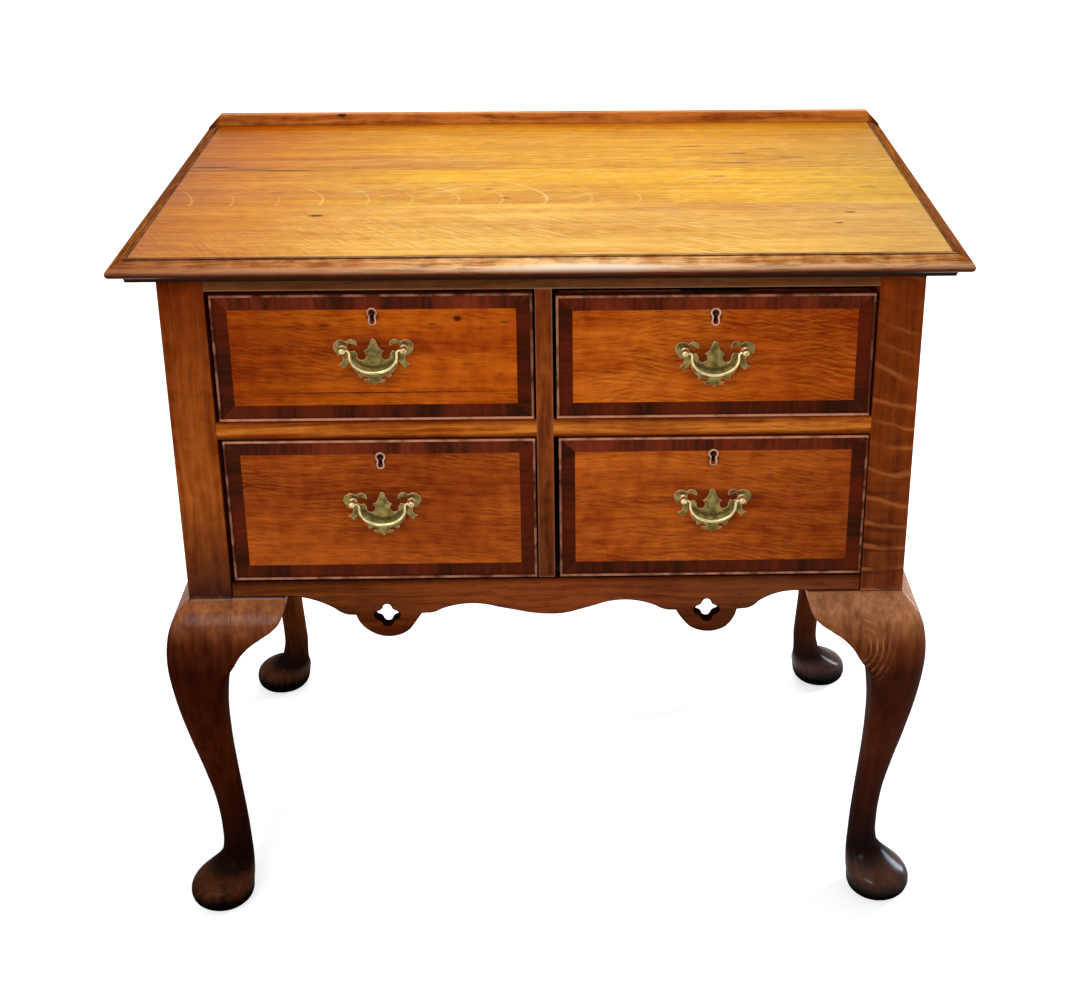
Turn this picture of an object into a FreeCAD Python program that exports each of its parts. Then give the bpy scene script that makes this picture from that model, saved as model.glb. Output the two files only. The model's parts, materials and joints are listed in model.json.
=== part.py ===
import FreeCAD, Part
import math
import os
from FreeCAD import Vector

# A four-drawer oak lowboy on cabriole legs: 780 mm wide, 744 mm to the top, four crossbanded
# drawers with cockbeads, locks and bail handles.  Millimetres, +Z up, +X to the right, front
# at -Y, origin on the floor under the middle of the whole piece.

# ------------------------------------------------------------------ driving sizes: top
top_width = 780.0  # over the noses of the side mouldings
top_depth = 500.0  # nose of the front moulding to the back edge
top_height = 744.0  # floor to the upper face
top_thickness = 22.0
front_overhang = 40.0  # nose in front of the case
back_overhang = 6.0
front_board_width = 158.0
back_board_width = 200.0
moulding_width = 17.0
nose_radius = 5.0
nose_drop = 10.2  # centre of the nose below the upper face
fillet_width = 2.5
fillet_step = 1.0
quirk = 1.2  # fine groove between the moulding and the boards
flat_under_nose = 2.0  # between the nose and the cove
gallery_height = 12.4
gallery_thickness = 8.4
gallery_end_inset = 18.0  # upper end of the rail inside the nose
gallery_toe_inset = 3.0  # its ends slope down over the side mouldings
gallery_toe_drop = 3.4  # tip of the slope below the top

# ------------------------------------------------------------------ driving sizes: case
side_overhang = 35.0  # nose of the top outside the case
post_width = 42.5
centre_stile_width = 16.0
top_rail_height = 18.5
top_rail_depth = 40.0
upper_opening_height = 131.5
divider_height = 18.5
divider_depth = 70.0
lower_opening_height = 153.0
frame_thickness = 20.0  # apron and centre stile
side_thickness = 18.0
back_thickness = 12.0
tenon_length = 18.0
tenon_thickness = 8.0
tenon_shoulder = 4.0
panel_tongue = 8.0

# ------------------------------------------------------------------ driving sizes: legs
pad_setback = 16.0  # pad centre behind the front face of the case
pad_radius = 33.5
leg_sides = 16
ankle_share = 0.2
rear_knee_reach = 6.0  # above the ankle the rear legs stay flat towards the wall
rear_ankle_lean = 9.5  # the rear ankles stand further in than the front ones
knee_bottom_share = 0.79  # the knee is square to the case above this share of its height
# Pattern of the leg from its foot up to the underside of the case: height as a share of the
# leg, reach outside the face of the post, inner edge inside that face, then the radii of the
# outer corner and of the other corners.
leg_pattern = [
    (0.000, 20.0, 20.0, 19.0, 19.0),
    (0.013, 28.0, 28.0, 27.0, 27.0),
    (0.028, 32.0, 32.0, 31.0, 31.0),
    (0.046, pad_radius, pad_radius, 32.5, 32.5),
    (0.068, 30.8, 34.0, 31.0, 31.0),
    (0.090, 20.5, 34.2, 26.0, 26.0),
    (0.112, 8.8, 33.6, 20.0, 20.0),
    (0.135, 1.0, 33.0, 16.0, 16.0),
    (0.165, -2.0, 32.4, 14.2, 14.2),
    (0.223, -2.9, 31.7, 13.4, 13.4),
    (0.330, -0.6, 29.6, 13.4, 13.0),
    (0.446, 6.3, 27.2, 15.0, 13.5),
    (0.565, 15.1, 25.6, 18.0, 14.0),
    (0.682, 22.7, 26.4, 21.0, 14.0),
    (0.748, 25.8, 29.5, 23.0, 12.0),
    (0.800, 27.2, 36.0, 24.0, 8.0),
    (0.830, 27.2, post_width, 24.0, 3.0),
    (0.879, 25.2, post_width, 22.0, 2.0),
    (0.919, 21.5, post_width, 19.0, 2.0),
    (0.951, 16.0, post_width, 14.0, 2.0),
    (0.977, 8.5, post_width, 8.0, 2.0),
    (1.000, 0.0, post_width, 2.5, 2.0),
]
knee_stations = 6  # stations of the pattern that shape the knee, for the brackets
bracket_reach = 52.5  # along the case from the leg to the tip
bracket_height = 66.0
bracket_tip = 9.0
bracket_thickness = 20.0

# ------------------------------------------------------------------ driving sizes: apron
apron_end_height = 19.5
lobe_radius = 34.7
lobe_centre_drop = 32.3
shelf_drop = 41.2
shelf_half_length = 43.5
shelf_nib = 1.8  # small step where a curve meets a shelf
ogee_length = 44.0
ogee_drop = 6.2
lobe_to_crest = 82.25
crest_drop = 30.5
centre_drop = 43.8
piercing_drop = 39.5
piercing_radius = 5.3
piercing_offset = 7.1

# ------------------------------------------------------------------ driving sizes: drawers
drawer_side_gap = 3.25  # cockbead to the post or the stile
front_thickness = 20.0
bead_thickness = 2.5
bead_proud = 2.5
bead_depth = 10.0  # behind the front face
band_width = 13.0
band_thickness = 2.0
board_thickness = 9.0  # sides and back
bottom_thickness = 6.5
bottom_lift = 8.0  # underside of the bottom above the running edge
groove_depth = 4.5
side_drop = 8.0  # top edge of a side below the top of the front
lap = 6.0  # wood in front of the half-blind dovetails
tails_per_corner = 3
tail_width = 24.0
tail_slope = 4.0
tail_margin = 4.0  # wood beyond the outermost tails
back_drop = 5.0  # top edge of the back below the sides
running_gap = 0.5
stop_length = 18.0
stop_height = 14.0
room_behind_stops = 8.0  # on the runners
runner_height = 18.0
runner_width = 26.0
guide_height = 18.0
kicker_width = 34.0
# Each drawer: name, side of the case, upper row, sideways shift in its opening, gaps below and
# above the beads, and the handle's height above the middle.
drawers = [
    ("upper_left", -1, True, 1.2, 1.0, 3.5, 10.5),
    ("upper_right", 1, True, 0.2, 1.0, 6.5, 6.5),
    ("lower_left", -1, False, 1.7, 1.2, 1.3, 10.5),
    ("lower_right", 1, False, 1.7, 1.2, 1.3, 10.5),
]

# ------------------------------------------------------------------ driving sizes: locks
lock_width = 58.0
lock_height = 46.0
lock_depth = 12.0
selvedge_width = 64.0
selvedge_thickness = 2.0
bolt_width = 18.0
bolt_thickness = 4.4
bolt_height = 24.0
bolt_throw = 10.0
bolt_clearance = 0.4
mortise_clearance = 0.8
key_drop = 20.0  # centre of the keyhole below the top of the drawer
key_radius = 2.6
key_slot_width = 2.8
key_slot_length = 9.5
key_pin_width = 2.0
escutcheon_wall = 1.5
escutcheon_thickness = 2.5
escutcheon_proud = 0.3

# ------------------------------------------------------------------ driving sizes: handles
post_spacing = 57.0
plate_thickness = 1.5
crown_height = 9.4
# Half outline of the batwing plate, right of the middle, from its crown down: points (x, z) from
# a spot between the posts, a single one ending a straight run and a pair an arc through the
# first.  Crown, C-scroll, wing with its hooked scroll, spur, lobed foot and pendant.
plate_outline = [
    [(1.7, 8.5), (2.6, 6.2)],
    [(4.4, 1.6)],
    [(6.4, -1.4), (9.8, -3.4)],
    [(8.0, -5.4)],
    [(10.4, -12.2), (15.2, -6.6)],
    [(17.8, -2.6)],
    [(24.6, 0.2), (22.6, 4.3)],
    [(18.8, 3.2), (15.2, 1.4)],
    [(18.2, 8.4), (25.0, 6.2)],
    [(34.6, 7.0), (36.6, -2.6)],
    [(32.4, -8.8)],
    [(30.6, -7.2)],
    [(29.4, -13.0), (34.6, -15.6)],
    [(31.2, -18.6), (28.4, -21.0)],
    [(22.4, -13.4)],
    [(19.6, -22.0), (14.8, -26.6)],
    [(14.4, -30.2), (11.2, -29.2)],
    [(8.0, -29.0), (5.4, -31.8)],
    [(10.4, -31.8)],
    [(7.4, -35.4), (3.2, -34.8)],
    [(0.0, -38.4)],
]
shank_size = 4.2  # square
ball_radius = 3.8
ball_stand = 8.6  # centre of the ball in front of the drawer
# Turned neck of a post: share of the way from the plate to the ball's centre, and the radius
# in ball radii.
neck_pattern = [(0.0, 0.90), (0.16, 0.84), (0.26, 0.50), (0.42, 0.52)]
turned_sides = 10
ball_bands = 5
nut_size = 9.0
nut_thickness = 3.0
thread_reach = 3.0  # past the nut
bail_half_width = 22.0
bail_drop = 22.3
bail_shoulder = 3.0  # radius of the bend below each post
bail_end_radius = 1.2
bail_middle_radius = 1.9
bail_pin_gap = 0.08
bail_end_gap = 0.3
bail_bands = 5
rod_sides = 8
facet_turn = 40.0  # degrees that one flat facet turns, on arcs too small to need finer ones

# ------------------------------------------------------------------ places worked out
def setback(share):
    """How far back a section of a leg lies at a share of its height."""
    return pad_setback * max(0.0, 1 - share / knee_bottom_share)


def lean(share):
    """Share of a leg's lean at a share of its height: all at the ankle and none in the knee."""
    below = 0.4 + 0.6 * share / ankle_share
    above = (knee_bottom_share - share) / (knee_bottom_share - ankle_share)
    return max(0.0, min(below, above))


case_half = top_width / 2 - side_overhang
case_depth = top_depth - front_overhang - back_overhang
rear_reach = max(reach - setback(share) for share, reach, *rest in leg_pattern
                 if share < ankle_share)
overall_depth = front_overhang + case_depth + rear_reach
nose_y = -overall_depth / 2
front_y = nose_y + front_overhang
back_y = front_y + case_depth
top_back_y = back_y + back_overhang
middle_y = (front_y + back_y) / 2
case_top = top_height - top_thickness
upper_top = case_top - top_rail_height
upper_floor = upper_top - upper_opening_height
lower_top = upper_floor - divider_height
lower_floor = lower_top - lower_opening_height
knee_top = lower_floor - apron_end_height
post_inner = case_half - post_width
stile_half = centre_stile_width / 2
opening_width = post_inner - stile_half
opening_centre = (post_inner + stile_half) / 2
side_inner = case_half - side_thickness
back_inner = back_y - back_thickness
drawer_width = opening_width - 2 * drawer_side_gap
drawer_back = back_y - post_width - room_behind_stops - stop_length - running_gap
lobe_offset = opening_centre
crest_offset = lobe_offset - lobe_to_crest

nodes = {}


# ------------------------------------------------------------------ shapes by rule
def box(x0, x1, y0, y1, z0, z1):
    """A block between two values on each axis, given in either order."""
    low = Vector(min(x0, x1), min(y0, y1), min(z0, z1))
    return Part.makeBox(abs(x1 - x0), abs(y1 - y0), abs(z1 - z0), low)


def chords(bow):
    """The ends of the flat facets that stand for a small arc."""
    turn = math.degrees(bow.LastParameter - bow.FirstParameter)
    count = math.ceil(turn / facet_turn)
    return bow.toShape().discretize(count + 1)


def outline_face(start, steps, place, faceted=False):
    """A plane face from a start point and steps.

    Each step is a list of points: one ends a straight run, and two are an arc through the first
    to the second.  place turns (a, b) into a space point.  A faceted outline has flat facets
    for its arcs.
    """
    edges = []
    here = place(*start)
    for step in steps:
        ends = [place(*point) for point in step]
        if len(ends) == 1:
            edges.append(Part.LineSegment(here, ends[0]).toShape())
        else:
            bow = Part.Arc(here, *ends)
            if faceted:
                spots = chords(bow)
                edges += [Part.LineSegment(a, b).toShape() for a, b in zip(spots, spots[1:])]
            else:
                edges.append(bow.toShape())
        here = ends[-1]
    if (here - place(*start)).Length > 1e-6:
        edges.append(Part.LineSegment(here, place(*start)).toShape())
    return Part.Face(Part.Wire(edges))


def front_prism(start, steps, y0, y1, faceted=False):
    """An outline in x and z, carried from y0 to y1."""
    face = outline_face(start, steps, lambda a, b: Vector(a, y0, b), faceted)
    return face.extrude(Vector(0, y1 - y0, 0))


def side_prism(start, steps, x0, x1):
    """An outline in y and z, carried from x0 to x1."""
    face = outline_face(start, steps, lambda a, b: Vector(x0, a, b))
    return face.extrude(Vector(x1 - x0, 0, 0))


def plan_prism(points, z0, z1):
    """A straight-edged outline in x and y, carried from z0 to z1."""
    face = outline_face(points[0], straight(points[1:]), lambda a, b: Vector(a, b, z0))
    return face.extrude(Vector(0, 0, z1 - z0))


def straight(points):
    """Straight steps to each of the points."""
    return [[point] for point in points]


def shift_steps(steps, a, b):
    """The same outline steps moved by (a, b)."""
    return [[(p + a, q + b) for p, q in step] for step in steps]


def ring(centre, across, up, radius, sides):
    """A regular ring of points round a centre, in the plane of two unit vectors."""
    turns = [2 * math.pi * (index + 0.5) / sides for index in range(sides)]
    return [centre + across * (radius * math.cos(t)) + up * (radius * math.sin(t))
            for t in turns]


def flat_face(*corners):
    """A straight-edged plane face."""
    return Part.Face(Part.makePolygon(corners + corners[:1]))


def skin(rings):
    """A closed solid over a row of rings that have as many points each.

    Four corners that lie in a plane share one face, and others get two triangles.
    """
    faces = [flat_face(*rings[0]), flat_face(*rings[-1])]
    for first, second in zip(rings, rings[1:]):
        following = zip(first, first[1:] + first[:1], second[1:] + second[:1], second)
        for a, b, c, d in following:
            normal = (b - a).cross(c - a).normalize()
            if abs(normal.dot(d - a)) < 1e-6:
                faces.append(flat_face(a, b, c, d))
            else:
                faces += [flat_face(a, b, c), flat_face(a, c, d)]
    solid = Part.Solid(Part.Shell(faces))
    if solid.Volume < 0:
        solid.reverse()
    return solid


def flip_x(shape):
    """The same piece on the other side of the case."""
    return shape.mirror(Vector(0, 0, 0), Vector(1, 0, 0))


def flip_y(shape):
    """The same piece at the other end of the case's depth."""
    return shape.mirror(Vector(0, middle_y, 0), Vector(0, 1, 0))


def join(first, *others):
    """Pieces of one board made into one solid."""
    return first.fuse(list(others)).removeSplitter()


def add(name, *solids):
    """Keep a node's solids."""
    nodes[name] = list(solids)


# ------------------------------------------------------------------ top
def moulding_profile(across, upright):
    """Section of the edge moulding: fillet, ovolo, round nose and cove.

    across gives the place of a distance in from the nose, upright of a drop below the top.
    """
    ovolo_top = moulding_width - fillet_width
    ovolo_foot = nose_drop - nose_radius
    nose_foot = nose_drop + nose_radius
    cove_start = nose_radius + flat_under_nose
    cove_radius = top_thickness - nose_foot
    groove_slope = 0.7 * quirk

    def at(inward, drop):
        return across(inward), upright(drop)

    middle_of_ovolo = at((ovolo_top + nose_radius) / 2,
                         fillet_step + (ovolo_foot - fillet_step) * 0.33)
    middle_of_cove = at(cove_start + cove_radius * math.sin(math.pi / 4),
                        top_thickness - cove_radius * math.cos(math.pi / 4))
    return at(moulding_width, top_thickness), [
        [at(moulding_width, quirk)],
        [at(moulding_width - groove_slope, 0)],
        [at(ovolo_top, 0)],
        [at(ovolo_top, fillet_step)],
        [middle_of_ovolo, at(nose_radius, ovolo_foot)],
        [at(0, nose_drop), at(nose_radius, nose_foot)],
        [at(cove_start, nose_foot)],
        [middle_of_cove, at(cove_start + cove_radius, top_thickness)],
    ]


def make_top():
    """Three boards glued edge to edge, a mitred moulding on three edges and a gallery rail."""
    half = top_width / 2
    field_half = half - moulding_width
    field_front = nose_y + moulding_width
    first_joint = field_front + front_board_width
    second_joint = top_back_y - back_board_width
    for name, y0, y1 in (("front", field_front, first_joint),
                         ("middle", first_joint, second_joint),
                         ("back", second_joint, top_back_y)):
        add("top_board_" + name, box(-field_half, field_half, y0, y1, case_top, top_height))

    start, steps = moulding_profile(lambda d: nose_y + d, lambda h: top_height - h)
    bar = side_prism(start, steps, -half, half)
    mitre = plan_prism([(-half, nose_y), (half, nose_y), (field_half, field_front),
                        (-field_half, field_front)], case_top, top_height)
    add("top_moulding_front", bar.common(mitre))

    start, steps = moulding_profile(lambda d: half - d, lambda h: top_height - h)
    bar = front_prism(start, steps, nose_y, top_back_y)
    mitre = plan_prism([(half, nose_y), (half, top_back_y), (field_half, top_back_y),
                        (field_half, field_front)], case_top, top_height)
    side = bar.common(mitre)
    add("top_moulding_right", side)
    add("top_moulding_left", flip_x(side))

    # the rail's sloped ends are cut over the mouldings
    end, toe = half - gallery_end_inset, half - gallery_toe_inset
    upper, tip = top_height + gallery_height, top_height - gallery_toe_drop
    foot = top_height - nose_drop + nose_radius
    blank = front_prism((-end, upper), straight([(end, upper), (toe, tip), (toe, foot),
                                                 (-toe, foot), (-toe, tip)]),
                        top_back_y - gallery_thickness, top_back_y)
    boards = box(-field_half, field_half, field_front, top_back_y, case_top, top_height)
    add("gallery_rail", blank.cut([boards, side, flip_x(side)]))


# ------------------------------------------------------------------ legs
def leg_section(share, reach, inner, outer_radius, inner_radius, back_reach, ankle_lean):
    """One sixteen-sided section of the front left leg.

    A square with one large and three small rounded corners, given by the distances of its
    tangents in sixteen fixed directions, so that every face between two sections is flat.
    """
    back = setback(share)
    aside = ankle_lean * lean(share)
    wall_reach = reach if share < ankle_share else min(reach, back_reach)
    low = Vector(-case_half - reach + aside, front_y - wall_reach + back)
    high = Vector(-case_half + inner + aside, front_y + inner + back)
    room = 0.5 * min(high.x - low.x, high.y - low.y)
    tangents = []
    for side in range(leg_sides):
        angle = 2 * math.pi * side / leg_sides
        toward = Vector(math.cos(angle), math.sin(angle))
        outer = toward.x < 0 and toward.y < 0
        radius = min(outer_radius if outer else inner_radius, room)
        corner = Vector(high.x - radius if toward.x > 0 else low.x + radius,
                        high.y - radius if toward.y > 0 else low.y + radius)
        tangents.append((toward, corner.dot(toward) + radius))
    points = []
    for (first, reach_1), (second, reach_2) in zip(tangents, tangents[1:] + tangents[:1]):
        turn = first.x * second.y - first.y * second.x
        points.append(Vector((reach_1 * second.y - reach_2 * first.y) / turn,
                             (reach_2 * first.x - reach_1 * second.x) / turn,
                             share * knee_top))
    return points


def make_leg(back_reach, ankle_lean):
    """The front left cabriole leg with its post, before its mortises.

    back_reach holds the knee in on a leg that stands against a wall, and ankle_lean moves the
    ankle inwards.
    """
    cabriole = skin([leg_section(*station, back_reach, ankle_lean) for station in leg_pattern])
    post = box(-case_half, -post_inner, front_y, front_y + post_width, knee_top, case_top)
    return join(cabriole, post)


def knee_swell(face, back):
    """Outline of the knee's swell in distance and height, outwards from a face of the case."""
    knee = [(face - reach, share * knee_top) for share, reach, *rest in leg_pattern]
    foot = knee_top - bracket_height - 1
    return (face, knee_top), straight(knee[-2:-knee_stations - 1:-1]
                                      + [(back, foot), (back, knee_top)])


def bracket_blank(from_leg):
    """Outline of a knee bracket in distance along the case and height."""
    tip = bracket_reach
    steps = [
        [(tip, 0)],
        [(tip, -bracket_tip)],
        [(tip * 0.90, -bracket_height * 0.30), (tip * 0.56, -bracket_height * 0.54)],
        [(tip * 0.23, -bracket_height * 0.73), (0, -bracket_height)],
    ]
    return (from_leg, knee_top), shift_steps(steps, from_leg, knee_top)


def make_front_bracket():
    """The bracket right of the front left leg: the knee's swell carried along the apron."""
    start, steps = bracket_blank(-post_inner)
    back = front_y + bracket_thickness
    blank = front_prism(start, steps, front_y - pad_radius, back)
    start, steps = knee_swell(front_y, back)
    return blank.common(side_prism(start, steps, -post_inner, -post_inner + bracket_reach))


def make_side_bracket():
    """The bracket behind the front left leg, under the side panel."""
    leg_back = front_y + post_width
    start, steps = bracket_blank(leg_back)
    back = -case_half + bracket_thickness
    blank = side_prism(start, steps, -case_half - pad_radius, back)
    start, steps = knee_swell(-case_half, back)
    return blank.common(front_prism(start, steps, leg_back, leg_back + bracket_reach))


# ------------------------------------------------------------------ case
def apron_edge():
    """Steps of the apron's lower edge from the right post to the middle.

    An ogee off the knee bracket, a shelf with its half-round lobe, and a wave to the middle.
    """
    end_z = knee_top
    shelf_z = lower_floor - shelf_drop
    crest_z = lower_floor - crest_drop
    middle_z = lower_floor - centre_drop
    lobe_z = lower_floor - lobe_centre_drop
    chord = math.sqrt(lobe_radius ** 2 - (shelf_z - lobe_z) ** 2)
    outer, inner = lobe_offset + shelf_half_length, lobe_offset - shelf_half_length
    ogee = (crest_offset + (inner - crest_offset) * 0.45, (shelf_z + crest_z) / 2 + 1.2)
    fall = (crest_offset * 0.45, crest_z - 6.6)
    return [
        [(outer + ogee_length, end_z)],
        [(outer + ogee_length / 2, end_z - ogee_drop), (outer, shelf_z + shelf_nib)],
        [(outer, shelf_z)],
        [(lobe_offset + chord, shelf_z)],
        [(lobe_offset, lobe_z - lobe_radius), (lobe_offset - chord, shelf_z)],
        [(inner, shelf_z)],
        [(inner * 0.91, shelf_z + shelf_nib), ogee],
        [(crest_offset, crest_z), fall],
        [(crest_offset * 0.25, middle_z + shelf_nib), (0.0, middle_z)],
    ]


def mirrored(start, steps):
    """Steps from the end of the given ones back to the start's mirror image across a = 0."""
    spots = [start] + [step[-1] for step in steps]
    back = []
    for index in range(len(steps) - 1, -1, -1):
        passed = steps[index][:-1] + [spots[index]]
        back.append([(-a, b) for a, b in passed])
    return back


def quatrefoil(x):
    """A pierced four-lobed flower, right through the apron."""
    z = lower_floor - piercing_drop
    # the lobes are circles about four points, and neighbours meet on the diagonals
    root = piercing_offset / 2 + math.sqrt(piercing_radius ** 2 / 2 - piercing_offset ** 2 / 4)
    crown = piercing_offset + piercing_radius
    steps = []
    for a, b in ((1, 0), (0, 1), (-1, 0), (0, -1)):
        steps.append([(x + a * crown, z + b * crown),
                      (x + (a - b) * root, z + (a + b) * root)])
    return front_prism((x + root, z - root), steps, front_y - 1, front_y + frame_thickness + 1,
                       faceted=True)


def make_apron():
    """The shaped board under the lower drawers, with two pierced lobes."""
    start = (post_inner, knee_top)
    edge = apron_edge()
    steps = edge + mirrored(start, edge) + straight([(-post_inner, lower_floor),
                                                     (post_inner, lower_floor)])
    apron = front_prism(start, steps, front_y, front_y + frame_thickness)
    return apron.cut([quatrefoil(-lobe_offset), quatrefoil(lobe_offset)])


def make_case():
    """Legs, sides, back, rails, apron, brackets and the bearers inside."""
    leg = make_leg(pad_radius, 0.0)
    rear_leg = flip_y(make_leg(rear_knee_reach, rear_ankle_lean))
    legs = {"leg_front_left": leg, "leg_front_right": flip_x(leg),
            "leg_rear_left": rear_leg, "leg_rear_right": flip_x(rear_leg)}
    frame_back = front_y + frame_thickness
    tenon_y = front_y + (frame_thickness - tenon_thickness) / 2

    # front frame: each rail carries its tenons, and what receives them is cut to match
    def tenon(x_shoulder, direction, z0, z1):
        return box(x_shoulder, x_shoulder + direction * tenon_length, tenon_y,
                   tenon_y + tenon_thickness, z0 + tenon_shoulder, z1 - tenon_shoulder)

    mortise_mates = []
    apron_tenons = [tenon(side * post_inner, side, knee_top, lower_floor) for side in (-1, 1)]
    apron = join(make_apron(), *apron_tenons)
    rail = box(-post_inner, post_inner, front_y, front_y + top_rail_depth, upper_top, case_top)
    rail_tenons = [tenon(side * post_inner, side, upper_top, case_top) for side in (-1, 1)]
    rail = join(rail, *rail_tenons)
    dividers = []
    for side in (-1, 1):
        board = box(side * stile_half, side * post_inner, front_y, front_y + divider_depth,
                    lower_top, upper_floor)
        ends = [tenon(side * post_inner, side, lower_top, upper_floor)]
        mortise_mates += ends
        dividers.append(join(board, *ends))
    mortise_mates += apron_tenons + rail_tenons
    stile = box(-stile_half, stile_half, front_y, frame_back, lower_floor, upper_top)

    # the bolts of the locks shoot up into mortises in the rail and the dividers
    for name, side, upper, shift, *rest in drawers:
        x = side * opening_centre + shift
        y0 = front_y + front_thickness - (lock_depth + bolt_thickness) / 2
        z = upper_top if upper else lower_top
        pocket = box(x - bolt_width / 2 - mortise_clearance, x + bolt_width / 2 + mortise_clearance,
                     y0 - mortise_clearance, y0 + bolt_thickness + mortise_clearance,
                     z - 1, z + bolt_throw)
        if upper:
            rail = rail.cut(pocket)
        else:
            spot = 0 if side < 0 else 1
            dividers[spot] = dividers[spot].cut(pocket)

    # side panels and back, tongued into the posts
    panel_front = front_y + post_width
    panel_back = back_y - post_width
    side_panel = box(-case_half, -side_inner, panel_front, panel_back, knee_top, case_top)
    tongue_x = -case_half + (side_thickness - tenon_thickness) / 2
    side_panel = join(side_panel, *[
        box(tongue_x, tongue_x + tenon_thickness, y, y + direction * panel_tongue,
            knee_top + tenon_shoulder, case_top)
        for y, direction in ((panel_front, -1), (panel_back, 1))])
    back_panel = box(-post_inner, post_inner, back_inner, back_y, knee_top, case_top)
    tongue_y = back_inner + (back_thickness - tenon_thickness) / 2
    back_panel = join(back_panel, *[
        box(side * post_inner, side * (post_inner + panel_tongue), tongue_y,
            tongue_y + tenon_thickness, knee_top + tenon_shoulder, case_top)
        for side in (-1, 1)])
    panels = {"side_panel_left": side_panel, "side_panel_right": flip_x(side_panel),
              "back_panel": back_panel}
    for name, solid in legs.items():
        add(name, solid.cut(mortise_mates + list(panels.values())))
    for name, solid in panels.items():
        add(name, solid)
    add("top_rail", rail)
    add("centre_stile", stile)
    add("drawer_dividers", *dividers)
    add("apron", apron)
    partition = box(-stile_half, stile_half, frame_back, back_inner, knee_top, case_top)
    add("centre_partition", partition.cut(rail))

    front_bracket = make_front_bracket()
    add("knee_brackets_front", front_bracket, flip_x(front_bracket))
    side_bracket = make_side_bracket()
    rear_bracket = flip_y(side_bracket)
    add("knee_brackets_side", side_bracket, flip_x(side_bracket), rear_bracket,
        flip_x(rear_bracket))
    make_bearers()


def make_bearers():
    """Runners and guides for every drawer side, kickers over the top row and stops behind."""
    runners = []
    stops = []
    kickers = []
    post_front, post_back = front_y + post_width, back_y - post_width
    for upper, floor, rail_back in ((True, upper_floor, front_y + divider_depth),
                                    (False, lower_floor, front_y + frame_thickness)):
        # outer runners carry a guide between the posts, inner ones lie against the partition
        first_y = max(rail_back, post_front)
        for side in (-1, 1):
            runners.append(box(side * side_inner, side * (post_inner - runner_width),
                               first_y, post_back, floor - runner_height, floor))
            runners.append(box(side * side_inner, side * post_inner,
                               first_y, post_back, floor, floor + guide_height))
            runners.append(box(side * stile_half, side * (stile_half + runner_width),
                               rail_back, back_inner, floor - runner_height, floor))
            for x in (post_inner - runner_width, stile_half):
                stop_y = drawer_back + running_gap
                stops.append(box(side * x, side * (x + runner_width),
                                 stop_y, stop_y + stop_length, floor, floor + stop_height))
    rail_back = front_y + top_rail_depth
    for side in (-1, 1):
        kickers.append(box(side * side_inner, side * (post_inner - kicker_width),
                           max(rail_back, post_front), post_back, upper_top, case_top))
        kickers.append(box(side * stile_half, side * (stile_half + kicker_width),
                           rail_back, back_inner, upper_top, case_top))
    add("drawer_runners", *runners)
    add("drawer_kickers", *kickers)
    add("drawer_stops", *stops)


# ------------------------------------------------------------------ drawers
def mitred_frame(x, z0, z1, width, strip, y0, y1):
    """Four strips mitred at the corners, lying inside a rectangle: left, right, bottom, top."""
    left, right = x - width / 2, x + width / 2
    outer = [(left, z0), (right, z0), (right, z1), (left, z1)]
    inner = [(left + strip, z0 + strip), (right - strip, z0 + strip),
             (right - strip, z1 - strip), (left + strip, z1 - strip)]
    strips = []
    for first, second in ((3, 0), (1, 2), (0, 1), (2, 3)):
        points = [outer[first], outer[second], inner[second], inner[first]]
        strips.append(front_prism(points[0], straight(points[1:]), y0, y1))
    return strips


def dovetails(x0, x1, y_root, y_end, z0, z1):
    """Tails on the end of a drawer side, wider at the tip than at the root."""
    pitch = (z1 - z0) / tails_per_corner
    tails = []
    for index in range(tails_per_corner):
        middle = z0 + pitch * (index + 0.5)
        root = tail_width / 2 - tail_slope
        tip = tail_width / 2
        points = [(y_root, middle - root), (y_end, middle - tip),
                  (y_end, middle + tip), (y_root, middle + root)]
        tails.append(side_prism(points[0], straight(points[1:]), x0, x1))
    return tails


def keyhole(x, z, y0, y1, margin=0.0):
    """A keyhole: a round eye over a slot with a round foot, grown all round by a margin."""
    radius = key_radius + margin
    half = key_slot_width / 2 + margin
    foot = z - key_slot_length + key_slot_width / 2
    neck = math.sqrt(radius ** 2 - half ** 2)
    steps = [[(x - half, foot)], [(x, foot - half), (x + half, foot)],
             [(x + half, z - neck)], [(x, z + radius), (x - half, z - neck)]]
    return front_prism((x - half, z - neck), steps, y0, y1, faceted=True)


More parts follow.
